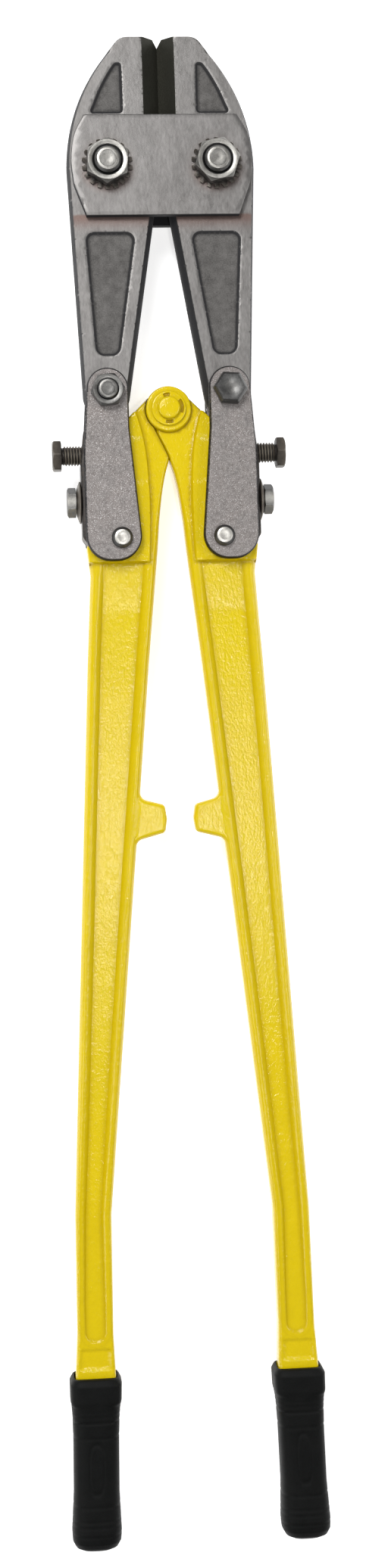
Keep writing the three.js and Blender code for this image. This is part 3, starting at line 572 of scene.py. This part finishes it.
away = np.array([SEAM - TAIL_X, BOLT_Y - TAIL_Y])
touch = np.degrees(np.arctan2(away[1], away[0]) + np.arccos(TAIL_R / np.hypot(*away))) - 360
dome_top = np.degrees(np.arcsin((TIP_Y - BOLT_Y - 6) / DOME_R))
tip_corner_x = DOME_X + np.sqrt(DOME_R**2 - (TIP_Y - BOLT_Y) ** 2)
jaw_loop = rounded([
    (SEAM, BOLT_Y),
    (SEAM, TIP_Y - 4.5),
    (SEAM + 2.7, TIP_Y),
    (tip_corner_x, TIP_Y, 10),
    *arc(DOME_X, BOLT_Y, DOME_R, dome_top, 0, 40),
    *arc(TAIL_X, TAIL_Y, TAIL_R, 0, touch, 40),
])[::-1]


def dome_at(y):
    """Outer edge of the jaw at a height."""
    return DOME_X + np.sqrt(DOME_R**2 - (y - BOLT_Y) ** 2)


PEAK_Y = TIP_Y - 15.5
flank_y = np.linspace(PLATE_TOP + 8, PEAK_Y - 4, 8)
triangle_loop = rounded([
    (21.8, PLATE_TOP + 1.9, 3),
    (dome_at(PLATE_TOP) - 9.4, PLATE_TOP + 1.9, 4),
    *zip(dome_at(flank_y) - 9.6, flank_y),
    (dome_at(PEAK_Y) - 9.8, PEAK_Y, 3),
    (dome_at(PEAK_Y) - 14.2, PEAK_Y, 2.2),
])
panel_loop = rounded([
    (28.2, 32.0, 6.0),
    (43.0, 32.0, 6.0),
    (47.6, 107.3, 5.5),
    (16.2, 107.3, 5.5),
])


def jaw_faces(x, y):
    """The ground face at one height, falling steeply over the black draft at the edges, along a ramp
    to the blade's edge, and down soft walls into the sunk panels."""
    edge = -gap(x, y, jaw_loop)
    middle = SEAM + (36 - SEAM) * np.clip((BOLT_Y - y) / 100, 0, 1)
    draft = OUTER_DRAFT + (INNER_DRAFT - OUTER_DRAFT) * soft_step((middle - x + 3) / 6)
    flank = np.where(x < 12, 0, soft_step((TIP_Y - y) / 12))
    draft = np.where(y > BOLT_Y, 0.2 + (OUTER_DRAFT - 0.2) * flank, draft)
    share = np.clip(edge / draft, 0, 1)
    land = np.where(y > BOLT_Y, 9.4 - 6.8 * flank, 2.6)
    z = land + (JAW_FACE - land) * share**0.7
    blade = (y > BLADE_LOW) & (x < BLADE_WIDE)
    ramp = BLADE_EDGE + (JAW_FACE - BLADE_EDGE) * np.clip((x - SEAM) / (BLADE_WIDE - SEAM), 0, 1)
    z = np.where(blade, np.minimum(z, ramp), z)
    inside = np.maximum(-gap(x, y, triangle_loop), -gap(x, y, panel_loop))
    z = z - SUNK * soft_step(inside / WALL_WIDE)
    forged = np.clip((1 - share) / 0.06, 0, 1) * (land < 5)
    wall = np.clip(inside / 0.25, 0, 1) * (1 - np.clip((inside - 1.3) / 1.0, 0, 1))
    # Painted shadow: a brown band on the jaw just below the plates' lower edge, fading downward.
    below = np.exp(-(np.clip(PLATE_BOTTOM - y, 0, None) / 5.5) ** 2)
    marks = {
        "forged": np.maximum(forged, 0.93 * wall),
        "sunk": np.clip((inside - 0.8) / 0.5, 0, 1),
        "blade": (blade & (x < BLADE_WIDE - 0.05)).astype(float),
        "painted_shadow": 0.8 * below * (y < PLATE_BOTTOM + 2),
    }
    return z, -z, marks


JAW_STEP = 1.6
from_edge = (0.2, 0.6, 1.2, 1.36, 2.0, 2.7, 2.95, 3.15)
jaw_rings = [inset(spaced(jaw_loop, JAW_STEP), d) for d in from_edge]
for line in (triangle_loop, panel_loop):
    jaw_rings += [inset(spaced(line, JAW_STEP), d) for d in (0.0, 0.25, 0.8, 1.3, WALL_WIDE)]
jaw_rings = [r[gap(*r.T, jaw_loop) < -0.05] for r in jaw_rings]
blade_y = np.arange(BLADE_LOW, TIP_Y - 0.3, JAW_STEP)
for beside in (-0.06, 0.0, 0.3):
    jaw_rings.append(np.column_stack([np.full_like(blade_y, BLADE_WIDE + beside), blade_y]))
for name, side in SIDES.items():
    jaw = relief(
        f"{name}_forged_jaw",
        jaw_loop,
        [ring(BOLT_X, BOLT_Y, BOLT_HOLE), ring(TAIL_X, TAIL_Y, TAIL_HOLE)],
        jaw_faces,
        JAW_STEP,
        jaw_rings,
        angle=40,
        mirror=side,
    )
    fitted(jaw, f"{name}_jaw", f"{name}_jaw", ground_steel)


# ---- Straps and strap bolts --------------------------------------------------------------------
# A pair of forged straps on each side, shot blasted and left bare, links a jaw's tail to its handle.
# They turn on an M12 bolt at the top: the left one shows its nut, the right one its head.

STRAP_LOW, STRAP_FACE = 10.3, 16.6
PIN_X, PIN_Y, PIN_SHANK = 30.8, -78.3, 5.0
STRAP_BOTTOM = PIN_Y - 13.6
STRAP_SHANK, STRAP_FLATS, STRAP_SEAT = 6.0, 18.0, 16.9
STRAP_RISE = 1.6  # the round top is drawn this far above the bolt

strap_loop = rounded([
    *arc(TAIL_X, TAIL_Y + STRAP_RISE, 12.5, 0, 180, 40),
    (TAIL_X - 12.5, TAIL_Y - 22),
    (17.4, STRAP_BOTTOM, 15),
    (52.1, STRAP_BOTTOM, 15),
    (52.1, -26.4),
], 16)

blasted_steel, tree, shader, spot = finish("blasted_steel", Metallic=0.85)
cloudy = placed(tree, clouds, spot, Coarse=480.0, Fine=1500.0, Contrast=2.4)
patchy = placed(tree, clouds, spot, Coarse=45.0, Fine=160.0, Contrast=2.4)
glints = placed(tree, specks, spot, Scale=1900.0, Level=0.6, Sharpness=8.0)
colour = blend(tree, cloudy, shade(0.105, 0.096, 0.092), shade(0.315, 0.297, 0.288))
colour = blend(tree, maths(tree, "MULTIPLY", patchy, 0.5), colour, shade(0.25, 0.215, 0.20))
# Painted glints: near-white colour laid on where the specks peak, in the lighter patches.
colour = blend(tree, maths(tree, "MULTIPLY", glints, patchy), colour, shade(0.80, 0.79, 0.78))
colour = blend(tree, mark(tree, "forged"), colour, shade(0.022, 0.022, 0.024))
surfaced(tree, shader, colour, lowered(tree, glints, 0.25, 0.56))
bumped(tree, shader, cloudy, 0.00022, 0.6)


def strap_faces(x, y):
    """Flat, with a forged edge rolled over: the height falls with the square of the way left."""
    left = 1 - np.clip(-gap(x, y, strap_loop) / 1.0, 0, 1)
    return STRAP_FACE - 1.3 * left**2, STRAP_LOW + 0.4 * left**2, {"forged": soft_step(left * 1.7)}


for name, side in SIDES.items():
    for where, turn in (("front", 1), ("rear", -1)):
        strap = relief(
            f"{name}_{where}_link_strap",
            strap_loop,
            [ring(TAIL_X, TAIL_Y, TAIL_HOLE), ring(PIN_X, PIN_Y, PIN_SHANK + 0.3)],
            strap_faces,
            2.5,
            [inset(spaced(strap_loop, 2), d) for d in (0.2, 0.5, 1.0)],
            turn=turn,
            mirror=side * turn,
        )
        fitted(strap, f"{name}_handle", f"{name}_{where}_strap", blasted_steel)
    turn = -side
    centre = (side * TAIL_X, TAIL_Y, 0)
    bolt = through_bolt(
        f"{name}_strap_through_bolt", centre, STRAP_SHANK, STRAP_FLATS, STRAP_SEAT,
        head=7.2, end=25.6, head_turn=4.0, turn=turn, sheen=0.4, cut=0.7,
    )
    fitted(bolt, f"{name}_handle", f"{name}_strap_bolt", plated_steel)
    nut = hexagon_nut(
        f"{name}_strap_hex_nut", centre, STRAP_FLATS, STRAP_SHANK + 0.1, STRAP_SEAT,
        high=6.6, turn_of_flats=6.0, turn=turn, sheen=0.32, sunk=0.4,
    )
    fitted(nut, f"{name}_handle", f"{name}_strap_nut", plated_steel)


# ---- Strap pins --------------------------------------------------------------------------------
# A pin through each handle, its ends upset over the straps into low heads whose dished faces carry
# painted sheen.

for name, side in SIDES.items():
    half_radii = [PIN_SHANK, 6.3, 6.35, 6.2, 5.3, 4.75, 4.5, 2.2, 0]
    half_heights = [STRAP_SEAT, STRAP_SEAT, 18.2, 18.6, 19.7, 20.3, 20.5, 20.15, 20.0]
    painted_sheen = [0, 0, 0, 0, 0.02, 0.1, 1, 0.85, 1]
    pin = revolved(
        f"{name}_upset_pin",
        half_radii[::-1] + half_radii,
        [-z for z in half_heights[::-1]] + half_heights,
        (side * PIN_X, PIN_Y, 0),
        {"painted_sheen": painted_sheen[::-1] + painted_sheen},
        angle=50,
    )
    fitted(pin, f"{name}_handle", f"{name}_strap_pin", plated_steel)


# ---- Adjusting blocks and screws ---------------------------------------------------------------
# A black block between each pair of straps is tapped for the adjusting screw, an M12 whose thread
# and thin head stand out to the side. Below it an M10 lock screw holds a conical washer.

BLOCK_IN, BLOCK_OUT = 43.0, 54.1
ADJUST_Y, LOCK_Y = -26.4, -54.8
BLOCK_TOP, BLOCK_BOTTOM = ADJUST_Y + 14.4, LOCK_Y - 26.2
THREAD_R, THREAD_PITCH, THREAD_DEEP, THREAD_END = 6.0, 1.75, 0.95, 65.4
ADJUST_FLATS, LOCK_FLATS = 17.4, 16.0

block_loop = rounded([
    (BLOCK_IN, BLOCK_BOTTOM),
    (BLOCK_OUT - 3, BLOCK_BOTTOM, 1.5),
    (BLOCK_OUT, BLOCK_BOTTOM + 4, 4),
    (BLOCK_OUT, ADJUST_Y - 6, 4),
    (BLOCK_OUT - 2.3, BLOCK_TOP, 1.5),
    (BLOCK_IN, BLOCK_TOP),
])


def block_faces(x, y):
    """Flat faces with a small rolled edge."""
    z = JAW_FACE - 0.8 * (1 - np.clip(-gap(x, y, block_loop) / 0.9, 0, 1)) ** 2
    return z, -z, {"painted_sheen": np.zeros_like(x)}


def threaded_screw(name, side, y):
    """A thread and a head: the radius rises and falls once for each pitch, shifted with the angle,
    and fades at both ends. The crests and the head's chamfer carry painted sheen."""
    z = np.arange(BLOCK_IN + 0.4, THREAD_END - 0.8, THREAD_PITCH / 10)
    turns = (z[:, None] / THREAD_PITCH - ROUND / (2 * np.pi)) % 1
    crest = np.clip(np.abs(turns - 0.5) * 3.4 - 0.3, 0, 1)
    fade = soft_step((z - BLOCK_IN) / 1.5)[:, None] * soft_step((THREAD_END - 0.6 - z) / 1.2)[:, None]
    r = THREAD_R - THREAD_DEEP * (1 - crest * fade)
    reach, start, end = six_sided(ADJUST_FLATS), 8.2, THREAD_END + 5.5
    radii = [0, *r, 5.0, start, reach, reach, start, 7.4, 5.2, 0]
    heights = [
        z[0], *z, THREAD_END, THREAD_END, nut_slope(reach, start, THREAD_END, 0.5),
        nut_slope(reach, start, end), end, end, end - 0.35, end - 0.4,
    ]
    crests = [0.0, *(0.75 * crest * fade), 0, 0, 0.1, 0.4, 0.15, 0.05, 0.05, 0]
    return revolved(name, radii, heights, (0, y, 0), {"painted_sheen": crests}, to_side=side, angle=38)


for name, side in SIDES.items():
    block = relief(
        f"{name}_tapped_block", block_loop, [], block_faces, 2.5,
        [inset(spaced(block_loop, 2.5), d) for d in (0.2, 0.5, 0.9)], mirror=side,
    )
    fitted(block, f"{name}_handle", f"{name}_adjusting_block", black_steel)
    fitted(
        threaded_screw(f"{name}_threaded_screw", side, ADJUST_Y),
        f"{name}_adjusting_screw", f"{name}_adjusting_screw", black_steel,
    )
    reach, start = six_sided(LOCK_FLATS, 30.0), 7.5
    under, end = BLOCK_OUT + 3.2, BLOCK_OUT + 8.8
    # Painted highlight: the head's sides are lighter only where they face straight up to the lights,
    # and down.
    painted_highlight = 0.7 * np.cos(ROUND) ** 12  # bright only where its sides face up or down
    lock = revolved(
        f"{name}_hex_lock_screw",
        [0, 5.0, 5.0, start, reach, reach, start, 6.6, 4.8, 0],
        [
            35.4, 35.4, under, under, nut_slope(reach, start, under, 0.3), nut_slope(reach, start, end),
            end, end, end - 0.4, end - 0.4,
        ],
        (0, LOCK_Y, 0),
        {"painted_sheen": [0, 0, 0, 0, painted_highlight, painted_highlight, 0.1, 0.05, 0.05, 0.05]},
        to_side=side,
    )
    fitted(lock, f"{name}_lock_screw", f"{name}_lock_screw", plated_steel)
    # The cone's outer rows carry painted sheen.
    cone = revolved(
        f"{name}_conical_washer",
        [5.3, 11.6, 12.5, 12.8, 12.6, 11.4, 9.6, 8.2, 5.3],
        [BLOCK_OUT + v for v in (0.5, 0.3, 0.35, 0.8, 1.25, 1.75, 2.35, 2.9, 2.9)],
        (0, LOCK_Y, 0),
        {"painted_sheen": [0, 0.1, 0.25, 0.5, 0.5, 0.45, 0.4, 0.35, 0]},
        to_side=side,
        closed=True,
    )
    fitted(cone, f"{name}_lock_screw", f"{name}_lock_screw_washer", black_steel)


# ---- Handles -----------------------------------------------------------------------------------
# Two long drop forgings with raised rims round a sunk web, half-lapped eyes at the pivot, a thick
# seat for the straps, and a stop lug. They were sprayed with thick yellow enamel when assembled.

EYE_R, LAP = 13.8, 0.2
SEAT_Z, RIM_Z, TONGUE_Z, LUG_Z = 9.9, 8.0, 7.0, 6.4
BOSS_RINGS = (12.9, 13.4, 13.75, 14.3)
GRIP_TOP = -585.0
HANDLE_END = GRIP_TOP - 8
LUG_Y = -248.2

NECK_Y, BEND_Y, ARM_TOP = -559.0, -487.0, -155.0
arm_y = np.array([-600, GRIP_TOP, NECK_Y, BEND_Y, ARM_TOP])
arm_inner = np.array([49.4, 49.5, 50.4, 49.3, 16.4])
arm_outer = np.array([74.3, 74.2, 72.2, 71.2, 53.5])


def inner_at(y):
    """Inner edge of the straight arm."""
    return np.interp(y, arm_y, arm_inner)


def outer_at(y):
    """Outer edge of the straight arm."""
    return np.interp(y, arm_y, arm_outer)


throat = bent([
    (-9.05, -10.41), (-0.45, -28.8), (3.95, -44), (7.05, -65), (9.4, -90), (inner_at(ARM_TOP), ARM_TOP)
])
handle_loop = rounded([
    *arc(0, 0, EYE_R, 45, 229, 60),
    *throat[1:],
    (inner_at(LUG_Y + 12.4), LUG_Y + 12.4, 5),
    (9.4, LUG_Y + 8.4, 3),
    (8.1, LUG_Y, 3),
    (9.4, LUG_Y - 8.4, 3),
    (inner_at(LUG_Y - 13), LUG_Y - 13, 5),
    (inner_at(BEND_Y), BEND_Y, 60),
    (inner_at(NECK_Y), NECK_Y, 25),
    (49.4, HANDLE_END),
    (74.4, HANDLE_END),
    (outer_at(NECK_Y), NECK_Y, 25),
    (outer_at(BEND_Y), BEND_Y, 60),
    (outer_at(ARM_TOP), ARM_TOP),
    (50.0, -99.5, 12),
    (52.1, BLOCK_BOTTOM - 0.3, 2),
    (BLOCK_IN - 0.3, BLOCK_BOTTOM - 0.3),
    (BLOCK_IN - 0.3, -6.5, 2),
    (26.02, -6.5, 6),
])
SEAT_LOW = -92.5
seat_edge = bent([(19.9, -1), (16.6, -13), (14.2, -26.6), (12.9, -46), (12.8, -66), (13.9, SEAT_LOW)])
seat_loop = rounded([*seat_edge, (60, SEAT_LOW, 1), (60, -1)])

CHANNEL_END = -563.0
channel_y = np.array([-91, ARM_TOP, -300, -420, BEND_Y, -540])
channel_in = inner_at(channel_y) + np.array([8.3, 8.0, 7.9, 7.4, 6.6, 5.4])
channel_in[0] = 17.6
channel_out = outer_at(channel_y) - np.array([8.8, 7.8, 7.6, 7.2, 6.4, 5.3])
channel_out[0] = 41.6
end_middle, end_half = 61.2, 5.5
PAD_TOP, PAD_LOW, PAD_DEEP = -567.5, -580.5, 0.9  # the sunk pad above the grip
channel_loop = rounded([
    (channel_in[0], channel_y[0], 3),
    *zip(channel_in[1:], channel_y[1:]),
    (end_middle - end_half, CHANNEL_END, end_half),
    (end_middle + end_half, CHANNEL_END, end_half),
    *zip(channel_out[:0:-1], channel_y[:0:-1]),
    (channel_out[0], channel_y[0], 3),
], 12)


def shaded_corners(x, y, lapped):
    """How deep in a corner a point lies: a narrow bell curve across the foot of each raised edge, which
    darkens the enamel there as painted shade. One face has the foot of the eye, and the lapped face has
    the other handle's outline."""
    channel, seat = gap(x, y, channel_loop), gap(x, y, seat_loop)
    eye = gap(-x, y, handle_loop) - 0.6 if lapped else np.hypot(x, y) - 14.2
    feet = (
        (channel + 0.1, 1.7, 0.27), (channel - 3.6, 0.9, 0.15), (seat - 0.95, 0.9, 0.6), (eye, 0.6, 0.8)
    )
    return np.max([deep * np.exp(-((away / wide) ** 2)) for away, wide, deep in feet], axis=0)


def handle_top(x, y, boss):
    """Height of one face: rims that round off to the outline, a web sunk between them by a power of
    the way in, the stop lug, a seat that stands above the tongue, a sunk pad above the grip, and the
    round boss of the eye."""
    edge = -gap(x, y, handle_loop)
    beside = np.minimum(x - inner_at(y), outer_at(y) - x)
    near_lug = np.abs(y - LUG_Y) < 30
    shoulder = np.interp(y, [-570, -500, -420, -95, -45, 0], [1.3, 1.8, 3.1, 3.2, 1.6, 1.4])
    rim = np.interp(y, [-110, -88, -55], [RIM_Z, 7.8, TONGUE_Z])
    left = 1 - np.clip(np.where(near_lug, beside, edge) / shoulder, 0, 1)
    z = rim - np.interp(y, [-570, -420, -95, -45], [2.0, 4.2, 4.2, 2.4]) * left**1.9
    wall = np.interp(y, [CHANNEL_END, -520, -420, -130, -98], [1.0, 1.8, 3.9, 3.9, 3.0])
    deep = np.interp(y, [CHANNEL_END, -530, -440, -122, -116, -94], [0.9, 1.5, 3.2, 3.5, 3.1, 1.9])
    z = z - deep * np.clip(1 - gap(x, y, channel_loop) / wall, 0, 1) ** 1.5
    lug = LUG_Z - 2.4 * (1 - np.clip(edge / 1.8, 0, 1)) ** 2
    z = np.where(near_lug & (beside < 4), np.maximum(z, lug * (beside < 2) + (beside >= 2) * z), z)
    seat = SEAT_Z - 0.5 * soft_step((y + 45) / 1.2) + 0.5 * soft_step((y + 0.25 * x + 13) / 1.2)
    seat = seat - 1.2 * (1 - np.clip(edge / 0.9, 0, 1)) ** 2
    z = z + (seat - z) * soft_step((0.5 - gap(x, y, seat_loop)) / 1.1)
    pad = soft_step(y - PAD_LOW) * soft_step(PAD_TOP - y) * soft_step(beside - 2.4)
    z = z - PAD_DEEP * pad
    if boss:
        top = np.interp(np.hypot(x, y), [0, *BOSS_RINGS], [SEAT_Z, SEAT_Z, 9.6, 8.9, 0])
        z = np.maximum(z, top)
    return z


def handle_faces(x, y):
    """The eye's own face in front, and behind it the other eye's bed, cut back to the middle of the
    thickness wherever the twin handle's outline comes."""
    lapped = gap(-x, y, handle_loop)
    front = handle_top(x, y, True)
    rear = np.where(lapped < 0.45, LAP, -handle_top(x, y, False))
    return front, rear, {"painted_shade": np.concatenate([shaded_corners(x, y, False), shaded_corners(x, y, True)])}


# Yellow enamel: glossy, sprayed thick over the hammered skin of the forging. The skin shows as low
# lumps along the arms, the spray as a fine orange peel, and the corners are darkened with painted
# shade.
yellow_enamel, tree, shader, spot = finish("yellow_enamel", Metallic=0.0, Specular_IOR_Level=0.36)
tone = placed(tree, clouds, spot, Coarse=45.0, Fine=260.0, Contrast=1.5)
colour = blend(tree, tone, shade(0.63, 0.467, 0.0013), shade(0.715, 0.537, 0.0025))
# Painted shade: the enamel turns a dark ochre at the foot of raised edges, round the eye and in the
# slots.
colour = blend(tree, mark(tree, "painted_shade"), colour, shade(0.36, 0.235, 0.001))
surfaced(tree, shader, colour, raised(tree, tone, 0.06, 0.11))
hammered = node(tree, "ShaderNodeMapping", {"Vector": spot, "Scale": (1, 0.55, 1)}).outputs[0]
lumps = placed(tree, clouds, hammered, Coarse=260.0, Fine=760.0, Contrast=1.5)
peel = placed(tree, clouds, spot, Coarse=1000.0, Fine=1900.0, Contrast=1.2)
coat = raised(tree, lumps, 0.75, maths(tree, "MULTIPLY", peel, 0.25))
bumped(tree, shader, coat, 0.0005, 0.8)

HANDLE_STEP = 2.2
EYE_HOLE = 5.3
from_channel = (-2.2, -1.3, -0.6, 0.0, 0.6, 1.2, 2.0, 2.8, 3.6, 4.2)
handle_rings = [inset(spaced(handle_loop, HANDLE_STEP), d) for d in (0.25, 0.6, 1.1, 1.8, 2.6, 3.4)]
handle_rings += [inset(spaced(channel_loop, 1.5), -d) for d in from_channel]
handle_rings += [inset(spaced(seat_loop, HANDLE_STEP), d) for d in (-0.6, -0.3, 0.0, 0.3, 0.6)]
handle_rings += [ring(0, 0, radius) for radius in (11.0, *BOSS_RINGS)]
for d in (0.40, 0.50):
    twin = inset(spaced(handle_loop, 0.8), -d)
    handle_rings.append(twin[np.abs(gap(*twin.T, handle_loop) - d) < 0.03] * (-1, 1))
across = np.linspace(0, 60, 40)
handle_rings += [np.column_stack([across, np.full_like(across, v)]) for v in (-45.6, -44.4, -43.2)]
across = np.linspace(50, 74, 16)
for v in (PAD_TOP, PAD_TOP - 1, PAD_LOW, PAD_LOW + 1):
    handle_rings.append(np.column_stack([across, np.full_like(across, v)]))
for x, y in ((0, 0), (PIN_X, PIN_Y)):
    handle_rings = [r[np.hypot(r[:, 0] - x, r[:, 1] - y) > EYE_HOLE + 0.6] for r in handle_rings]
handle_rings = [r[gap(*r.T, handle_loop) < -0.1] for r in handle_rings]
for name, side in SIDES.items():
    handle = relief(
        f"{name}_forged_handle",
        handle_loop,
        [ring(0, 0, EYE_HOLE), ring(PIN_X, PIN_Y, PIN_SHANK + 0.3)],
        handle_faces,
        HANDLE_STEP,
        handle_rings,
        angle=48,
        turn=side,
    )
    fitted(handle, f"{name}_handle", f"{name}_handle", yellow_enamel)


# ---- Handle pivot ------------------------------------------------------------------------------
# A headed pin joins the two eyes, with a slotted washer on each face. It was painted in place.

EYE_WASHER_LOW, EYE_WASHER_TOP = 10.2, 11.65
around = np.degrees(ROUND)
# Three slots between two radii of the washer, each given by its middle, half its width and its depth.
slots = sum(
    soft_step((half - np.abs((around - middle + 180) % 360 - 180)) / 4) * deep
    for middle, half, deep in ((98, 15, 1.0), (8, 30, 0.8), (272, 17, 1.0))
)
slotted = EYE_WASHER_TOP - slots
# Painted shade darkens the washer's slots, its foot and the edge of its bore.
slot_shade = np.clip(slots * 1.4, 0, 1)
for where, turn in (("front", 1), ("rear", -1)):
    washer = revolved(
        f"{where}_eye_washer",
        [EYE_HOLE, 10.1, 10.4, 10.4, 10.1, 9.3, 9.0, 7.4, 7.1, EYE_HOLE],
        [
            EYE_WASHER_LOW, EYE_WASHER_LOW, 10.4, 11.3, EYE_WASHER_TOP, EYE_WASHER_TOP,
            slotted, slotted, EYE_WASHER_TOP, EYE_WASHER_TOP,
        ],
        (0, 0, 0),
        {"painted_shade": [0.6, 0.6, 0.3, 0, 0, 0, slot_shade, slot_shade, 0, 0.5]},
        turn=turn, closed=True, angle=50,
    )
    fitted(washer, "left_handle", f"{where}_pivot_washer", yellow_enamel)
# The pin's shank and the undersides of its heads are darkened with painted shade.
pin_radii = [5.0, 6.5, 6.7, 6.7, 6.2, 5.4, 0]
pin_heights = [12.0, 12.0, 12.2, 13.6, 14.35, 14.6, 14.6]
pivot_pin = revolved(
    "eye_pin",
    pin_radii[::-1] + pin_radii,
    [-z for z in pin_heights[::-1]] + pin_heights,
    (0, 0, 0),
    {"painted_shade": [0, 0, 0, 0, 0.1, 0.7, 0.7, 0.7, 0.7, 0.1, 0, 0, 0, 0]},
    angle=50,
)
fitted(pivot_pin, "left_handle", "handle_pivot_pin", yellow_enamel)


# ---- Grips -------------------------------------------------------------------------------------
# Moulded black rubber sleeves, pushed over the ends of the handles: a squarish collar with a lip
# round the handle, a flat-faced waist with fine rings and an oval panel, and a bulged round end.

GRIP_LONG = 105.0
GRIP_X, GRIP_LEAN = 61.85, 2.2
OVAL_DROP, OVAL_WIDE, OVAL_LONG = 54.0, 4.3, 15.0
AROUND = np.radians(np.arange(0, 360, 2.5))

black_rubber, tree, shader, spot = finish("black_rubber", Metallic=0.0, Specular_IOR_Level=0.1)
cloudy = placed(tree, clouds, spot, Coarse=120.0, Fine=900.0, Contrast=1.6)
colour = blend(tree, cloudy, shade(0.003, 0.0033, 0.0032), shade(0.007, 0.0074, 0.0072))
surfaced(tree, shader, colour, raised(tree, cloudy, 0.16, 0.46))
bumped(tree, shader, placed(tree, clouds, spot, Coarse=1500.0, Fine=3000.0), 0.00012, 0.4)


def grip_sleeve(name, side):
    """A section carried down the sleeve: a rounded rectangle whose half widths and squareness follow
    the drop below the top. Rings and the panel's outline are shallow grooves, as narrow bell curves."""
    closer = [0.25, 0.6, 14.9, 15.3, 15.8, 104.2, 104.7, 104.95]
    outside = np.unique(np.concatenate([np.arange(0, GRIP_LONG, 0.9), closer]))
    places = [0, 0.3, 1, 3.5, 13.5, 16, 24, 38, 70, 94, 99, 102.5, 104.4, GRIP_LONG]
    half_wide = [13.4, 13.9, 14.4, 15.7, 15.5, 15.0, 14.3, 13.9, 13.9, 15.1, 14.7, 12.9, 9.5, 0]
    half_deep = [12.0, 12.6, 13.1, 14.4, 14.3, 13.9, 13.2, 13.0, 13.0, 14.2, 13.8, 12.0, 8.6, 0]
    half_x, half_z = np.interp(outside, places, half_wide), np.interp(outside, places, half_deep)
    square = np.interp(outside, [0, 15, 17, 40, GRIP_LONG], [5.0, 5.0, 3.6, 3.2, 2.8])
    grooves = sum(
        deep * np.exp(-(((outside - at) / wide) ** 2))
        for at, deep, wide in (
            (19.4, 0.25, 0.5), (22.2, 0.25, 0.5), (26.0, 0.45, 0.6), (35.5, 0.35, 0.6),
            (77.0, 0.35, 0.6), (85.5, 0.25, 0.5), (89.0, 0.25, 0.5), (94.5, 0.35, 0.6),
        )
    )
    half_x, half_z = half_x - grooves * (half_x > 0), half_z - grooves * (half_z > 0)
    # The first four rows line the sleeve's mouth, round the end of the handle.
    drop = np.concatenate([[7.0, 7.0, 0.5, 0.0], outside])
    half_x = np.concatenate([[0, 12.75, 12.75, 13.1], half_x])[:, None]
    half_z = np.concatenate([[0, 8.4, 8.5, 9.0], half_z])[:, None]
    square = np.concatenate([[9, 9, 9, 8], square])[:, None]
    c, s = np.cos(AROUND), np.sin(AROUND)
    reach = (np.abs(c) ** square + np.abs(s) ** square) ** (-1 / square)
    x, z = half_x * c * reach, half_z * s * reach
    along = (drop[:, None] - OVAL_DROP) / OVAL_LONG
    oval = (np.abs(x / OVAL_WIDE) ** 3 + np.abs(along) ** 3) ** (1 / 3)
    panel = 0.45 * np.exp(-(((oval - 1) / 0.1) ** 2)) * (np.abs(z) > 8)
    z = z - np.sign(z) * panel
    x = x + GRIP_X + GRIP_LEAN * drop[:, None] / GRIP_LONG
    y = np.broadcast_to(GRIP_TOP - drop[:, None], x.shape)
    return skin(name, np.stack([x * side, y, z], -1), angle=50)


for name, side in SIDES.items():
    sleeve = grip_sleeve(f"{name}_rubber_sleeve", side)
    fitted(sleeve, f"{name}_handle", f"{name}_grip", black_rubber)


# ---- Floor, lights and camera ------------------------------------------------------------------
# A plain pale floor under soft studio light: a key from beyond the jaws, a fill from each side, and
# a small light beside the camera, which looks straight down from above the middle of the tool.

bpy.ops.mesh.primitive_plane_add(size=8)
floor = bpy.context.object
floor.name = "studio_floor"
paper, tree, shader, spot = finish(
    "paper", Roughness=0.9, Specular_IOR_Level=0.0, Emission_Color=shade(1.0), Emission_Strength=0.62
)
grain = placed(tree, clouds, spot, Coarse=6.0, Fine=300.0, Contrast=1.0)
tree.links.new(blend(tree, grain, shade(0.93), shade(0.95)), shader.inputs["Base Color"])
floor.data.materials.append(paper)


def softbox(name, place, aim, size, power):
    """A square area light at one point, facing another."""
    light = bpy.data.lights.new(name, "AREA")
    light.size, light.energy = size, power
    box = bpy.data.objects.new(name, light)
    bpy.context.scene.collection.objects.link(box)
    box.location = place
    box.rotation_euler = (Vector(aim) - Vector(place)).to_track_quat("-Z", "Y").to_euler()


softbox("key", (-0.6, 1.05, 1.65), (0, 0.05, 0), size=0.8, power=24)
softbox("left_fill", (-1.3, -0.5, 1.1), (0, -0.1, 0), size=0.9, power=8)
softbox("right_fill", (1.3, 0.0, 1.1), (0, 0, 0), size=0.9, power=9)
softbox("camera_side", (0.03, -0.06, 1.35), (0, 0, 0), size=0.08, power=3.0)

world = bpy.data.worlds.new("studio")
bpy.context.scene.world = world
world.use_nodes = True
world.node_tree.nodes["Background"].inputs["Color"].default_value = shade(1.0)
world.node_tree.nodes["Background"].inputs["Strength"].default_value = 0.26
bpy.context.scene.view_settings.view_transform = "Standard"

CAMERA_AT, CAMERA_AIM = Vector((-0.1, 0.009, 1.3)), Vector((0.0025, 0.005, 0.0256))
CAMERA_UP = Vector((0.0308, 0.9995, 0))
lens = bpy.data.cameras.new("camera")
lens.lens, lens.sensor_width = 48.1, 36
camera = bpy.data.objects.new("camera", lens)
bpy.context.scene.collection.objects.link(camera)
backward = (CAMERA_AT - CAMERA_AIM).normalized()
across = CAMERA_UP.cross(backward).normalized()
camera.matrix_world = Matrix.Translation(CAMERA_AT) @ Matrix(
    (across, backward.cross(across), backward)
).transposed().to_4x4()
bpy.context.scene.camera = camera
